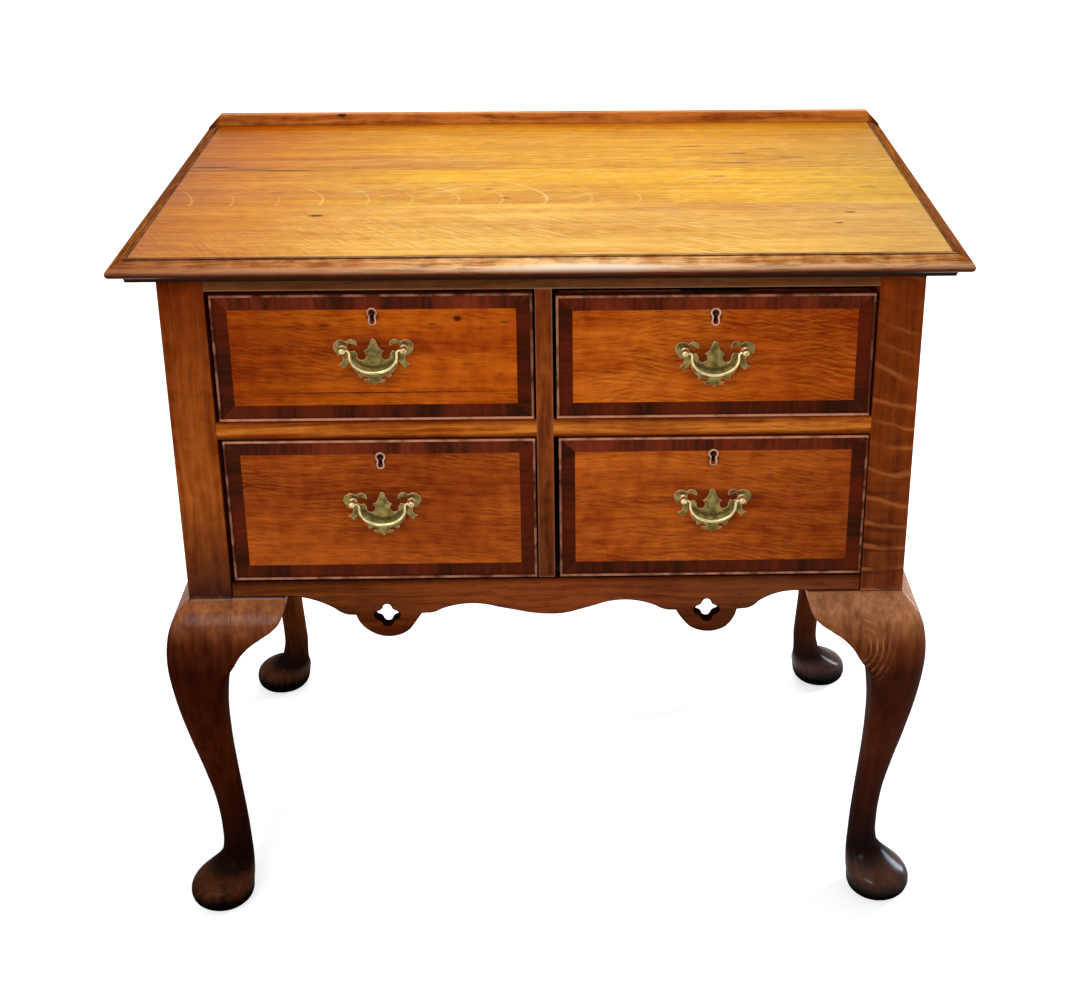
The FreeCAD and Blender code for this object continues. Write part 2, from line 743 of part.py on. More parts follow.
def make_drawer(name, side, upper, shift, gap_below, gap_above, rise):
    """One drawer with its banding, beads, box, lock, brasses and bail."""
    x = side * opening_centre + shift
    opening_floor, opening_top = ((upper_floor, upper_top) if upper
                                  else (lower_floor, lower_top))
    low = opening_floor + gap_below
    high = opening_top - gap_above
    label = "drawer_" + name + "_"
    half = drawer_width / 2 - bead_thickness
    face = front_y
    inside = face + front_thickness

    # oak front, cut for the banding, the dovetails, the bottom, the lock and the brasses
    front = box(x - half, x + half, face, inside, low + bead_thickness, high - bead_thickness)
    bands = mitred_frame(x, low + bead_thickness, high - bead_thickness, 2 * half, band_width,
                         face, face + band_thickness)
    run_z = opening_floor + running_gap
    side_top = high - bead_thickness - side_drop
    tail_low = low + bead_thickness + tail_margin
    sides = []
    for direction in (-1, 1):
        x0, x1 = x + direction * half, x + direction * (half - board_thickness)
        board = box(x0, x1, inside, drawer_back - board_thickness, run_z, side_top)
        front_tails = dovetails(x0, x1, inside, face + lap, tail_low, side_top)
        back_tails = dovetails(x0, x1, drawer_back - board_thickness, drawer_back,
                               tail_low + bottom_lift, side_top - back_drop)
        sides.append(join(board, *front_tails, *back_tails))
    bottom_z = run_z + bottom_lift
    groove = half - board_thickness + groove_depth
    bottom = box(x - groove, x + groove, inside - groove_depth, drawer_back, bottom_z,
                 bottom_z + bottom_thickness)
    back = box(x - half, x + half, drawer_back - board_thickness, drawer_back,
               bottom_z + bottom_thickness, side_top - back_drop)
    back = back.cut(sides)
    sides = [board.cut(bottom) for board in sides]

    # lock in the back of the front, with its selvedge in the top edge
    key_z = high - key_drop
    lock_back = inside
    lock_front = inside - lock_depth
    bolt_y0 = lock_front + (lock_depth - bolt_thickness) / 2
    channel = box(x - bolt_width / 2 - bolt_clearance, x + bolt_width / 2 + bolt_clearance,
                  bolt_y0 - bolt_clearance, bolt_y0 + bolt_thickness + bolt_clearance,
                  high - bolt_height - bolt_clearance, high + 1)
    case = box(x - lock_width / 2, x + lock_width / 2, lock_front, lock_back,
               high - selvedge_thickness - lock_height, high - selvedge_thickness)
    selvedge = box(x - selvedge_width / 2, x + selvedge_width / 2, lock_front, lock_back,
                   high - selvedge_thickness, high)
    lock_blank = join(case, selvedge)
    pin = box(x - key_pin_width / 2, x + key_pin_width / 2, face + 1, bolt_y0,
              key_z - key_pin_width / 2, key_z + key_pin_width / 2)
    key_room = keyhole(x, key_z, lock_front - 1, bolt_y0 - 2 * bolt_clearance)
    lock = join(lock_blank.cut([channel, key_room]), pin)
    bolt = box(x - bolt_width / 2, x + bolt_width / 2, bolt_y0, bolt_y0 + bolt_thickness,
               high - bolt_height, high)

    # brasses: thread escutcheon, pierced plate, posts with nuts, bail
    handle_z = (low + high) / 2 + rise
    thread = keyhole(x, key_z, face - escutcheon_proud,
                     face - escutcheon_proud + escutcheon_thickness, escutcheon_wall)
    key_opening = keyhole(x, key_z, face - 1, lock_front)
    escutcheon = thread.cut(key_opening)
    posts, nuts, shanks = make_posts(x, handle_z, face, inside)
    plate = make_plate(x, handle_z, face).cut(shanks)
    bail = make_bail(x, face - ball_stand, handle_z)

    front = front.cut(bands + sides + [bottom, lock_blank, thread, key_opening] + shanks)
    beads = mitred_frame(x, low, high, drawer_width, bead_thickness, face - bead_proud,
                         face + bead_depth)
    beads = [strip.cut(selvedge) for strip in beads]
    beads[3] = beads[3].cut(lock_blank)

    add(label + "front", front)
    add(label + "crossbanding", *[strip.cut(thread) for strip in bands])
    add(label + "cockbeading", *beads)
    add(label + "box", sides[0], sides[1], back, bottom)
    add(label + "lock", lock)
    add(label + "lock_bolt", bolt)
    add(label + "plates", plate, escutcheon)
    add(label + "posts", *posts, *nuts)
    add(label + "bail", bail)


# ------------------------------------------------------------------ brasses
def make_plate(x, z, face):
    """The pierced back plate, its right half drawn and its left half mirrored."""
    crown = (0.0, crown_height)
    steps = plate_outline + mirrored(crown, plate_outline)
    return front_prism((x, z + crown_height), shift_steps(steps, x, z),
                       face - plate_thickness, face, faceted=True)


def make_posts(x, z, face, inside):
    """Ball-headed posts through the drawer front, square nuts, and the shanks as cutters."""
    posts = []
    nuts = []
    shanks = []
    across, up = Vector(1, 0, 0), Vector(0, 0, 1)
    ball_y = face - ball_stand
    plate_face = face - plate_thickness
    thread_end = inside + nut_thickness + thread_reach
    hole_radius = (bail_end_radius + bail_pin_gap) / math.cos(math.pi / rod_sides)
    for side in (-1, 1):
        post_x = x + side * post_spacing / 2
        shank = box(post_x - shank_size / 2, post_x + shank_size / 2, plate_face, thread_end,
                    z - shank_size / 2, z + shank_size / 2)
        stations = [(plate_face + (ball_y - plate_face) * share, size * ball_radius)
                    for share, size in neck_pattern]
        for band in range(1, ball_bands):
            turn = math.pi * band / ball_bands
            stations.append((ball_y + ball_radius * math.cos(turn),
                             ball_radius * math.sin(turn)))
        head = skin([ring(Vector(post_x, y, z), across, up, radius, turned_sides)
                     for y, radius in stations])
        hole = skin([ring(Vector(hole_x, ball_y, z), Vector(0, 1, 0), up, hole_radius, rod_sides)
                     for hole_x in (post_x, post_x - side * 2 * ball_radius)])
        posts.append(join(shank, head).cut(hole))
        nut = box(post_x - nut_size / 2, post_x + nut_size / 2, inside, inside + nut_thickness,
                  z - nut_size / 2, z + nut_size / 2)
        nuts.append(nut.cut(shank))
        shanks.append(shank)
    return posts, nuts, shanks


def make_bail(x, y, z):
    """The hanging handle: a tapered rod whose turned-out ends pivot in the posts."""
    pin_end = post_spacing / 2 - bail_end_gap
    bend_x = bail_half_width + bail_shoulder
    side_z = -2 * bail_shoulder
    stations = [(pin_end, 0.0, 0.0, bail_end_radius), (bend_x, 0.0, 0.0, bail_end_radius)]
    for step in (1, 2):
        turn = step * math.pi / 4
        stations.append((bend_x - bail_shoulder * math.sin(turn),
                         -bail_shoulder * (1 - math.cos(turn)), turn, bail_end_radius))
    drop = bail_drop + side_z
    for step in range(bail_bands + 1):
        turn = step * math.pi / (2 * bail_bands)
        rod = bail_end_radius + (bail_middle_radius - bail_end_radius) * math.sin(turn)
        heading = math.atan2(drop * math.cos(turn), bail_half_width * math.sin(turn))
        stations.append((bail_half_width * math.cos(turn), side_z - drop * math.sin(turn),
                         heading, rod))
    full = stations + [(-a, b, -turn, rod) for a, b, turn, rod in reversed(stations[:-1])]
    rings = [ring(Vector(x + a, y, z + b), Vector(0, 1, 0),
                  Vector(-math.sin(turn), 0, math.cos(turn)), rod, rod_sides)
             for a, b, turn, rod in full]
    return skin(rings)


make_top()
make_case()
for drawer in drawers:
    make_drawer(*drawer)

os.makedirs("parts", exist_ok=True)
for name, solids in nodes.items():
    pieces = [solid for shape in solids for solid in shape.Solids]
    shape = pieces[0] if len(pieces) == 1 else Part.makeCompound(pieces)
    shape.exportStep("parts/" + name + ".step")
    print("%-36s %2d solids %10.1f cm3 %s" % (name, len(pieces), shape.Volume / 1000,
                                              "" if shape.isValid() else "INVALID"))
print(len(nodes), "nodes")
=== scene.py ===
import functools
import json
import math

import bmesh
import bpy
import numpy as np
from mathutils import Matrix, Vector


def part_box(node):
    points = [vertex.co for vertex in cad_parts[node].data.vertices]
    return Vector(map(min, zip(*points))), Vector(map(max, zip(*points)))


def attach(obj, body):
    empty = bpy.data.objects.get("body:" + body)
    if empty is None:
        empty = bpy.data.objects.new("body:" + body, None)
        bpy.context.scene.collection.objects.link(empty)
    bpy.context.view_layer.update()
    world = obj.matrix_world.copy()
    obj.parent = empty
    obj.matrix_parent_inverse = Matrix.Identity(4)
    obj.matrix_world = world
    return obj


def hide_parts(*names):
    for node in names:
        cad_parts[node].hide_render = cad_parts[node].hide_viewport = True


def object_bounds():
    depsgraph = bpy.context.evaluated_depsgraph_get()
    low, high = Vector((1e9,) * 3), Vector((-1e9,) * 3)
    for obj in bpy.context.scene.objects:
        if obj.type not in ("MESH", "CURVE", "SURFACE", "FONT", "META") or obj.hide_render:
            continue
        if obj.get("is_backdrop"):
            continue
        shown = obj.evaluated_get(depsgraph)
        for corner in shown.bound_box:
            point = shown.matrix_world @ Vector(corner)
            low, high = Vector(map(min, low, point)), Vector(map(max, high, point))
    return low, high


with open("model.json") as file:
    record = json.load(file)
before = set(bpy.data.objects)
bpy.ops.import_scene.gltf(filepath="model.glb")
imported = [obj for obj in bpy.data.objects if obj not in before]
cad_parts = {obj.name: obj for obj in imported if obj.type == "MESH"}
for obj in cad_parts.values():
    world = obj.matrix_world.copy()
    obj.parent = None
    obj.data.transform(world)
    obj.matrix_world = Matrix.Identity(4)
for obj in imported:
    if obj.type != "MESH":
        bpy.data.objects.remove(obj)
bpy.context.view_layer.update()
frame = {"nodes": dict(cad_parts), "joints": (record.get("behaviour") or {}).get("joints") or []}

nodes = frame["nodes"]
MM = 0.001


# ------------------------------------------------------ legs
# Each leg is sawn from one oak post: the square post is the corner of the case, and below it
# the same stick is cut to an S curve, a cabriole, that swells at the knee, thins at the ankle
# and ends in a round pad foot.  Worked with spokeshave and rasp, then waxed for generations.

side_low, side_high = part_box("side_panel_left")
case_left, knee_top, case_top = side_low.x, side_low.z, side_high.z
case_front, case_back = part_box("top_rail")[0].y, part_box("back_panel")[1].y
post = 42.5 * MM
pad_setback = 16.0 * MM
ankle_share, knee_foot_share = 0.2, 0.79
rear_knee_reach = 6.0 * MM
rear_ankle_lean, foot_lean_share = 9.5 * MM, 0.4
# height as a share of the leg, then in mm: reach outside the post's face, inner edge inside
# that face, radius of the outer corner and of the others
leg_stations = np.array([
    (0.000, 19.0, 19.0, 18.0, 18.0),
    (0.006, 25.5, 25.5, 25.0, 25.0),
    (0.016, 30.2, 30.2, 29.8, 29.8),
    (0.030, 32.8, 32.8, 32.4, 32.4),
    (0.046, 33.5, 33.5, 33.0, 33.0),
    (0.062, 32.2, 33.9, 32.4, 32.4),
    (0.078, 27.4, 34.3, 29.6, 29.6),
    (0.095, 18.6, 34.2, 25.6, 25.6),
    (0.114, 8.4, 33.6, 20.4, 20.4),
    (0.135, 1.0, 33.0, 16.6, 16.6),
    (0.165, -2.0, 32.4, 14.8, 14.8),
    (0.223, -2.9, 31.7, 14.0, 14.0),
    (0.330, -0.6, 29.6, 14.2, 13.6),
    (0.446, 6.3, 27.2, 15.8, 14.0),
    (0.565, 15.1, 25.6, 18.6, 14.6),
    (0.682, 22.7, 26.4, 21.4, 14.0),
    (0.748, 25.8, 29.5, 23.0, 11.0),
    (0.800, 27.2, 36.0, 23.6, 6.0),
    (0.830, 27.2, 42.5, 23.0, 2.0),
    (0.879, 25.2, 42.5, 20.4, 1.2),
    (0.919, 21.5, 42.5, 17.0, 1.0),
    (0.951, 16.0, 42.5, 12.5, 1.0),
    (0.977, 8.5, 42.5, 7.0, 1.0),
    (0.994, 1.4, 42.5, 2.4, 1.0),
    (1.000, 0.0, 42.5, 1.0, 1.0),
])


def flowing(at, knots, values):
    """A smooth curve through the knots: a cubic in each span, whose slope at a knot is the
    mean slope of its two spans."""
    slope = np.gradient(values, knots, axis=0)
    i = np.clip(np.searchsorted(knots, at, side="right") - 1, 0, len(knots) - 2)
    span = knots[i + 1] - knots[i]
    t = (at - knots[i]) / span
    if values.ndim > 1:
        t, span = t[:, None], span[:, None]
    return (values[i] * (2 * t**3 - 3 * t**2 + 1) + values[i + 1] * (3 * t**2 - 2 * t**3)
            + span * (slope[i] * (t**3 - 2 * t**2 + t) + slope[i + 1] * (t**3 - t**2)))


def rounded_square(low_x, high_x, low_y, high_y, outer, others, steps=12):
    """Rows of points round rectangles whose corners are quarter circles.

    The corner at low x and low y has the outer radius, and the other three share theirs.
    """
    turn = np.linspace(0, math.pi / 2, steps)
    points = []
    for corner, (cx, cy) in enumerate(((high_x, high_y), (low_x, high_y), (low_x, low_y),
                                       (high_x, low_y))):
        wanted = outer if corner == 2 else others
        radius = np.minimum(wanted, 0.499 * np.minimum(high_x - low_x, high_y - low_y))[:, None]
        angle = turn + corner * math.pi / 2
        sx, sy = (-1 if corner in (1, 2) else 1), (-1 if corner in (2, 3) else 1)
        points.append(np.stack([cx[:, None] - sx * radius + radius * np.cos(angle),
                                cy[:, None] - sy * radius + radius * np.sin(angle)], -1))
    return np.concatenate(points, axis=1)


def leg_grid(side, end):
    """Sections of a leg up its height, with the straight post on top.

    Rounded squares, whose edges and radii flow through the stations, are set back towards the
    foot; a rear leg's knee is held in and its ankle leans inwards, most at the ankle and not
    at all in the knee.
    """
    share = np.unique(np.concatenate([
        np.linspace(first, last, count) for first, last, count in
        ((0, 0.12, 26), (0.12, knee_foot_share, 54), (knee_foot_share, 1.0, 34))]))
    reach, inner, outer, others = (flowing(share, leg_stations[:, 0], leg_stations[:, 1:]) * MM).T
    setback = pad_setback * np.clip(1 - share / knee_foot_share, 0, 1)
    wall_reach, aside = reach, 0 * reach
    if end > 0:
        held = np.clip((share - ankle_share) / 0.08, 0, 1)
        wall_reach = reach * (1 - held) + np.minimum(reach, rear_knee_reach) * held
        below = foot_lean_share + (1 - foot_lean_share) * share / ankle_share
        above = (knee_foot_share - share) / (knee_foot_share - ankle_share)
        aside = rear_ankle_lean * np.clip(np.minimum(below, above), 0, 1)
    outline = rounded_square(-reach + aside, inner + aside, -wall_reach + setback,
                             inner + setback, outer, others)
    heights = share * knee_top
    outline = np.concatenate([outline, outline[-1:]])
    heights = np.append(heights, case_top)
    x = -side * (case_left + outline[..., 0])
    y = (case_front + outline[..., 1]) if end < 0 else (case_back - outline[..., 1])
    z = np.broadcast_to(heights[:, None], x.shape)
    return np.stack([x, y, z], -1)


def finished(name, mesh, body, replaced=(), smooth=40.0):
    """The object for a mesh: doubles merged, faces outwards, and edges that turn by less than
    smooth degrees shaded round, but not where a face that looks straight ahead ends."""
    shape = bmesh.new()
    shape.from_mesh(mesh)
    bmesh.ops.remove_doubles(shape, verts=shape.verts, dist=1e-6)
    bmesh.ops.recalc_face_normals(shape, faces=shape.faces)
    for face in shape.faces:
        face.smooth = True
    for edge in shape.edges:
        ahead = {abs(face.normal.y) > 0.9999 for face in edge.link_faces}
        edge.smooth = edge.calc_face_angle(0.0) < math.radians(smooth) and len(ahead) == 1
    shape.to_mesh(mesh)
    shape.free()
    piece = bpy.data.objects.new(name, mesh)
    bpy.context.scene.collection.objects.link(piece)
    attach(piece, body)
    if replaced:
        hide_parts(*replaced)
    return piece


def solid(name, grid, body, replaced=(), ring=True, smooth=40.0):
    """A closed piece over a grid of points in rows and columns.

    Each row closes into a ring, and the first and last rows are capped; with ring False the
    columns close too, as on a frame.
    """
    rows, columns = grid.shape[:2]
    index = np.arange(rows * columns).reshape(rows, columns)
    below, above = (index[:-1], index[1:]) if ring else (index, np.roll(index, -1, axis=0))
    faces = np.stack([below, np.roll(below, -1, axis=1), np.roll(above, -1, axis=1), above], -1)
    mesh = bpy.data.meshes.new(name)
    ends = [list(index[0][::-1]), list(index[-1])] if ring else []
    mesh.from_pydata(grid.reshape(-1, 3), [], faces.reshape(-1, 4).tolist() + ends)
    return finished(name, mesh, body, replaced, smooth)


def linear(hex_colour):
    """An sRGB hex colour as linear RGBA."""
    srgb = np.array([int(hex_colour[i:i + 2], 16) for i in (0, 2, 4)]) / 255
    rgb = np.where(srgb <= 0.04045, srgb / 12.92, ((srgb + 0.055) / 1.055) ** 2.4)
    return (*rgb, 1.0)


def add_node(tree, kind, *feeds, out=None, **named):
    """Adds one shader node, sets and links its inputs, and returns an output, by default the
    first in use.

    The kind may carry the node's modes, as in "Mix RGBA MULTIPLY".  feeds go to the inputs in
    use, in order.  A name with a capital is an input, with _ for a space, and the others are
    the node's own settings.  Each feed is a socket, a value or a hex colour.
    """
    kind, *modes = kind.split()
    node = tree.nodes.new("ShaderNode" + kind)
    mode_names = ("data_type", "blend_type") if kind == "Mix" else ("operation",)
    for key, value in (*zip(mode_names, modes), *named.items()):
        if key[0].islower():
            setattr(node, key, value)
    fed = [*zip((socket for socket in node.inputs if socket.enabled), feeds)]
    fed += [(node.inputs[key.replace("_", " ")], value) for key, value in named.items()
            if key[0].isupper()]
    for socket, value in fed:
        if isinstance(value, bpy.types.NodeSocket):
            tree.links.new(value, socket)
        else:
            socket.default_value = linear(value) if isinstance(value, str) else value
    if out is not None:
        return node.outputs[out]
    return next((socket for socket in node.outputs if socket.enabled), None)


def blank_material(name):
    """An empty node material, a function that adds nodes to it, and the place on the piece."""
    material = bpy.data.materials.new(name)
    material.use_nodes = True
    material.node_tree.nodes.clear()
    add = functools.partial(add_node, material.node_tree)
    return material, add, add("TexCoord", out="Object")


def surfaced(material, add, relief, depth, height, **look):
    """The material with its surface: a bump of a depth in mm, and other inputs by name."""
    normal = add("Bump", Strength=relief, Distance=depth * MM, Height=height)
    add("OutputMaterial", add("BsdfPrincipled", Normal=normal, **look))
    return material


def laid(add, colour, tint, *shares):
    """A colour with a tint laid over it, as strongly as the shares' product."""
    shown = functools.reduce(functools.partial(add, "Math MULTIPLY"), shares)
    return add("Mix RGBA", shown, colour, tint)


def facing(add):
    """How squarely a face looks to the front or the back, from 0 to 1."""
    return add("Math ABSOLUTE", add("SeparateXYZ", add("NewGeometry", out="Normal"), out="Y"))


def dress(piece, material):
    """Gives a piece its material in place of what it had."""
    piece.data.materials.clear()
    piece.data.materials.append(material)


# Turns that bring the grain to X and the way across it, in the face that shows, to Y: flat
# boards, boards seen from the front, upright posts, and rails and panels along the sides.
right_angle = math.pi / 2
GRAIN = {"flat": (0, 0, 0), "front": (-right_angle, 0, 0),
         "upright": (right_angle, 0, right_angle), "side": (-right_angle, -right_angle, 0),
         "flat_side": (0, 0, -right_angle)}
AMBER = "FFBC74"  # what wax and old varnish do to light that they reflect
noise_spot = 0.6  # width of a noise's spots at a scale of 1


def streaks(add, grain, length, width, turn=0.0, detail=2.0):
    """Noise drawn out into marks about length by width mm, turned in degrees off the grain."""
    drawn = add("Mapping", grain, Rotation=(0, 0, math.radians(turn)),
                Scale=(length / width, 1.0, 1.0), vector_type="TEXTURE")
    return add("TexNoise", drawn, Scale=noise_spot / (width * MM), Detail=detail)


def finish(paint):
    """Makes a finish: called with its own values, it gives the layer that paints a wood."""
    return lambda *values, **named: lambda *wood: paint(*wood, *values, **named)


@finish
def faded(add, place, grain, colour, rough_edge, axis, *stops, ragged=0.12):
    """Finish: colours that multiply the wood along an axis, at places in metres; the border
    between them wanders by a share of the whole run."""
    parts = add("SeparateXYZ", place, out=axis)
    low, high = stops[0][0], stops[-1][0]
    at = add("Math MULTIPLY_ADD", rough_edge, ragged * (high - low), parts)
    shade = add("ValToRGB", add("MapRange", at, low, high))
    ramp = shade.node.color_ramp.elements
    ramp[0].color, ramp[1].color = linear(stops[0][1]), linear(stops[-1][1])
    for spot, tint in stops[1:-1]:
        ramp.new((spot - low) / (high - low)).color = linear(tint)
    return add("Mix RGBA MULTIPLY", 1.0, colour, shade)


@finish
def flecked(add, place, grain, colour, rough_edge, turn, length, width, strength, tint="FFD98C",
            spread=90.0):
    """Finish: the oak's rays, pale flecks at an angle to the grain, in patches of a spread in
    mm."""
    fleck = add("MapRange", streaks(add, grain, length, width, turn, 1.0), 0.56, 0.66)
    patch = add("MapRange", streaks(add, grain, spread, spread / 2), 0.42, 0.58, 0.0,
                strength)
    return laid(add, colour, tint, fleck, patch)


@finish
def shaded_ripples(add, place, grain, colour, rough_edge, turn, length, width, dark, light, patch=70.0):
    """Finish: short waves in the figure, painted as if lit and shaded: each an orange painted
    highlight beside a dark painted furrow 1.2 mm away, in patches."""
    wave = streaks(add, grain, length, width, turn, 3.0)
    beside = add("VectorMath ADD", grain, (0.0, 1.2 * MM, 0.0))
    slope = add("Math SUBTRACT", wave, streaks(add, beside, length, width, turn, 3.0))
    where = add("MapRange", streaks(add, grain, patch, patch / 2), 0.4, 0.6, 0.15, 1.0)
    for low, high, strength, tint in ((-0.015, -0.10, dark, "5A1A04"),
                                      (0.015, 0.10, light, "F0902E")):
        shown = add("MapRange", slope, low, high, 0.0, strength)
        colour = laid(add, colour, tint, shown, where)
    return colour


@finish
def above(add, place, grain, colour, rough_edge, level, other):
    """Finish: another finish, only above a height in metres."""
    high = add("Math GREATER_THAN", add("SeparateXYZ", place, out="Z"), level)
    return add("Mix RGBA", high, colour, other(add, place, grain, colour, rough_edge))


@finish
def spotted(add, place, grain, colour, rough_edge, *spots, tint="2B0F05"):
    """Finish: knots, cracks and stains, and also painted shadows and highlights, each (x, y, z,
    half sizes in x, y and z, strength) in mm, dark in the middle unless tinted otherwise and
    ragged at the edge."""
    for x, y, z, size_x, size_y, size_z, strength in spots:
        away = add("VectorMath SUBTRACT", place, (x * MM, y * MM, z * MM))
        away = add("VectorMath DIVIDE", away, (size_x * MM, size_y * MM, size_z * MM))
        away = add("VectorMath LENGTH", away)
        away = add("Math MULTIPLY_ADD", rough_edge, 0.9, away)
        shown = add("MapRange", away, 0.55, 1.2, strength, 0.0)
        colour = add("Mix RGBA", shown, colour, tint)
    return colour


@finish
def rubbed_and_lit_edges(add, place, grain, colour, rough_edge, low, high, width=2.0, strength=0.6,
                 tint="E9B27C"):
    """Finish: a pale tint along a squared piece's edges, where two of its faces are near: wear,
    and on the gallery's top a painted highlight as well.

    The way in from each pair of faces is half the size less the distance from the middle; the
    second smallest of the three is the distance from an edge.
    """
    away = add("VectorMath SUBTRACT", place, tuple((low + high) / 2))
    away = add("VectorMath ABSOLUTE", away)
    away = add("VectorMath SUBTRACT", tuple((high - low) / 2), away)
    x, y, z = (add("SeparateXYZ", away, out=i) for i in range(3))
    least, most = add("Math MINIMUM", x, y), add("Math MAXIMUM", x, y)
    second = add("Math MAXIMUM", least, add("Math MINIMUM", most, z))
    second = add("Math MULTIPLY_ADD", rough_edge, 1.6 * width * MM, second)
    shown = add("MapRange", second, 0.0, width * MM, strength, 0.0)
    return add("Mix RGBA", shown, colour, tint)


def shaded_underside(add, place, grain, colour, rough_edge):
    """Finish: faces that look down are unwaxed and painted dark: dust, and painted shade."""
    z = add("SeparateXYZ", add("NewGeometry", out="Normal"), out="Z")
    shown = add("MapRange", z, -0.15, -0.7, 0.0, 0.9)
    return add("Mix RGBA", shown, colour, "1C0C06")


def waxed_oak(name, face, offset, dark, light, *layers, streak=0.5, pore=0.4, cloud=0.35,
              marks=(110.0, 3.2), mottle=0.25, roughness=0.34, gloss=0.10, relief=0.12,
              tooling=0.0, coat=None):
    """Quarter-sawn oak, planed and waxed: growth streaks 5 mm apart, open pores as dark dashes
    and slow clouds of colour, then the finish's layers.  The eye sees depth and a low, amber
    shine.

    streak, pore, cloud and mottle are how strongly each shows, and marks the length and width
    of a streak; tooling is how strongly the facets of the spokeshave show, and coat where more
    wax is burnished on.
    """
    material, add, place = blank_material(name)
    grain = add("Mapping", place, offset, GRAIN[face])
    # the grain wanders a few mm over a hand's breadth
    wander = add("TexNoise", grain, Scale=7.0, Detail=2.0, out=1)
    wander = add("VectorMath SUBTRACT", wander, (0.5, 0.5, 0.5))
    grain = add("VectorMath MULTIPLY_ADD", wander, (0.0, 0.02, 0.02), grain)
    fine = streaks(add, grain, *marks, detail=4.0)
    broad_width = 5.3 * marks[1]
    broad = streaks(add, grain, 15 * broad_width, broad_width, detail=2.0)
    clouds = streaks(add, grain, 180.0, 70.0, detail=3.0)
    blotch = add("TexNoise", grain, Scale=noise_spot / (9 * MM), Detail=4.0)
    tone = add("MapRange", fine, 0.32, 0.68, 0.5 - 0.5 * streak, 0.5 + 0.5 * streak)
    for wave, share in ((broad, 0.8 * streak), (clouds, cloud), (blotch, mottle)):
        shift = add("MapRange", wave, 0.34, 0.66, -share / 2, share / 2)
        tone = add("Math ADD", tone, shift)
    tone = add("Math ADD", tone, 0.0, use_clamp=True)
    colour = add("Mix RGBA", tone, dark, light)
    # open pores are 0.3 mm wide; drawn 1 mm wide here so that they show
    dash = streaks(add, grain, 13.0, 1.0, detail=1.0)
    pores = add("MapRange", dash, 0.58, 0.72, 0.0, pore)
    colour = add("Mix RGBA MULTIPLY", pores, colour, "30120A")
    rough_edge = add("Math SUBTRACT", fine, 0.5)
    for layer in layers:
        colour = layer(add, place, grain, colour, rough_edge)
    rough = add("MapRange", clouds, 0.3, 0.7, roughness - 0.05, roughness + 0.09)
    height = add("Math MULTIPLY_ADD", pores, -1.2, tone)
    facets = streaks(add, grain, 14.0, 26.0, detail=1.0)
    height = add("Math MULTIPLY_ADD", facets, 20 * tooling, height)
    return surfaced(material, add, relief, 0.4, height, Base_Color=colour, Roughness=rough,
                    Specular_IOR_Level=gloss, Specular_Tint=AMBER,
                    Coat_Weight=coat(add, place) if coat else 0.0, Coat_Roughness=0.22)


def leg_patina_and_shading(side, end, bottom, middle, top):
    """The legs' colour from the feet up, much of it painted light and shade: near black at the
    foot's bottom as painted shade, a painted highlight on its shoulder, dark brown up the shaft,
    painted shade under the knee and its top painted tan as light, lighter on the right, and the
    post's own three colours."""
    shaft = ((0.055, "1E0C06"), (0.09, "341408"), (0.15, "4D1C08"), (0.20, "632708"),
             (0.27, "521D08"))
    if end > 0:
        shaft = ((0.055, "2E170A"), (0.09, "5D2C13"), (0.20, "98471B"), (0.27, "8B3814"))
    knee = (((0.310, "421606"), (0.338, "642C12"), (0.358, "A05930"), (0.372, "C47744"))
            if side < 0 else ((0.300, "542008"), (0.328, "823E1C"), (0.350, "B06C40"),
                              (0.366, "DC9464")))
    foot = ((0.0, "030201"), (0.012, "060302"), (0.018, "1C0D06"), (0.026, "4A2412"),
            (0.034, "5A2E18"), (0.042, "2E160C"))
    if side < 0:
        foot = (*foot[:2], (0.018, "180A04"), (0.026, "542A14"), (0.034, "5E3218"),
                (0.042, "24100A"))
    return faded("Z", *foot, *shaft, *knee, (0.3795, knee[3][1]), (0.3815, bottom),
                 (0.50, middle), (0.722, top), ragged=0.02)


def burnished(add, place):
    """More wax, burnished where a cloth rubs most: on the shoulder of the foot and the top of
    the knee, and more on the right than on the left."""
    z = add("SeparateXYZ", place, out="Z")
    right = add("MapRange", add("SeparateXYZ", place), -0.1, 0.1, 0.2, 1.0)
    foot = add("MapRange", z, 0.036, 0.048, 0.34, 0.05)
    foot = add("Math MULTIPLY", foot, right)
    knee = add("MapRange", z, 0.345, 0.37, 0.0, 0.2)
    case = add("MapRange", z, 0.3812, 0.382, 1.0, 0.0)
    knee = add("Math MULTIPLY", knee, case)
    toe = add("MapRange", z, 0.012, 0.028, 0.0, 1.0)
    return add("Math MULTIPLY_ADD", toe, foot, knee)


def arched(add, place, grain, colour, rough_edge):
    """Finish: the growth rings that the spokeshave cut through, as arcs 6 mm apart round a spot
    on the inside of the right knee."""
    away = add("VectorMath SUBTRACT", place, (0.311, 0.0, 0.328))
    away = add("VectorMath MULTIPLY", away, (1.0, 0.0, 0.8))
    away = add("VectorMath LENGTH", away)
    sway = add("TexNoise", place, Scale=30.0)
    bent = add("Math MULTIPLY_ADD", sway, 14 * MM, away)
    wave = add("Math MULTIPLY", bent, 2 * math.pi / (6 * MM))
    wave = add("Math SINE", wave)
    shown = add("MapRange", wave, 0.3, 1.0, 0.0, 0.4)
    patch = add("TexNoise", place, Scale=60.0, Detail=2.0)
    patch = add("MapRange", patch, 0.4, 0.6)
    near = add("MapRange", away, 0.024, 0.038, 1.0, 0.0)
    past = add("MapRange", away, 0.008, 0.013)
    right = add("MapRange", add("SeparateXYZ", place), 0.306, 0.318)
    return laid(add, colour, "E8A468", shown, patch, near, past, right)


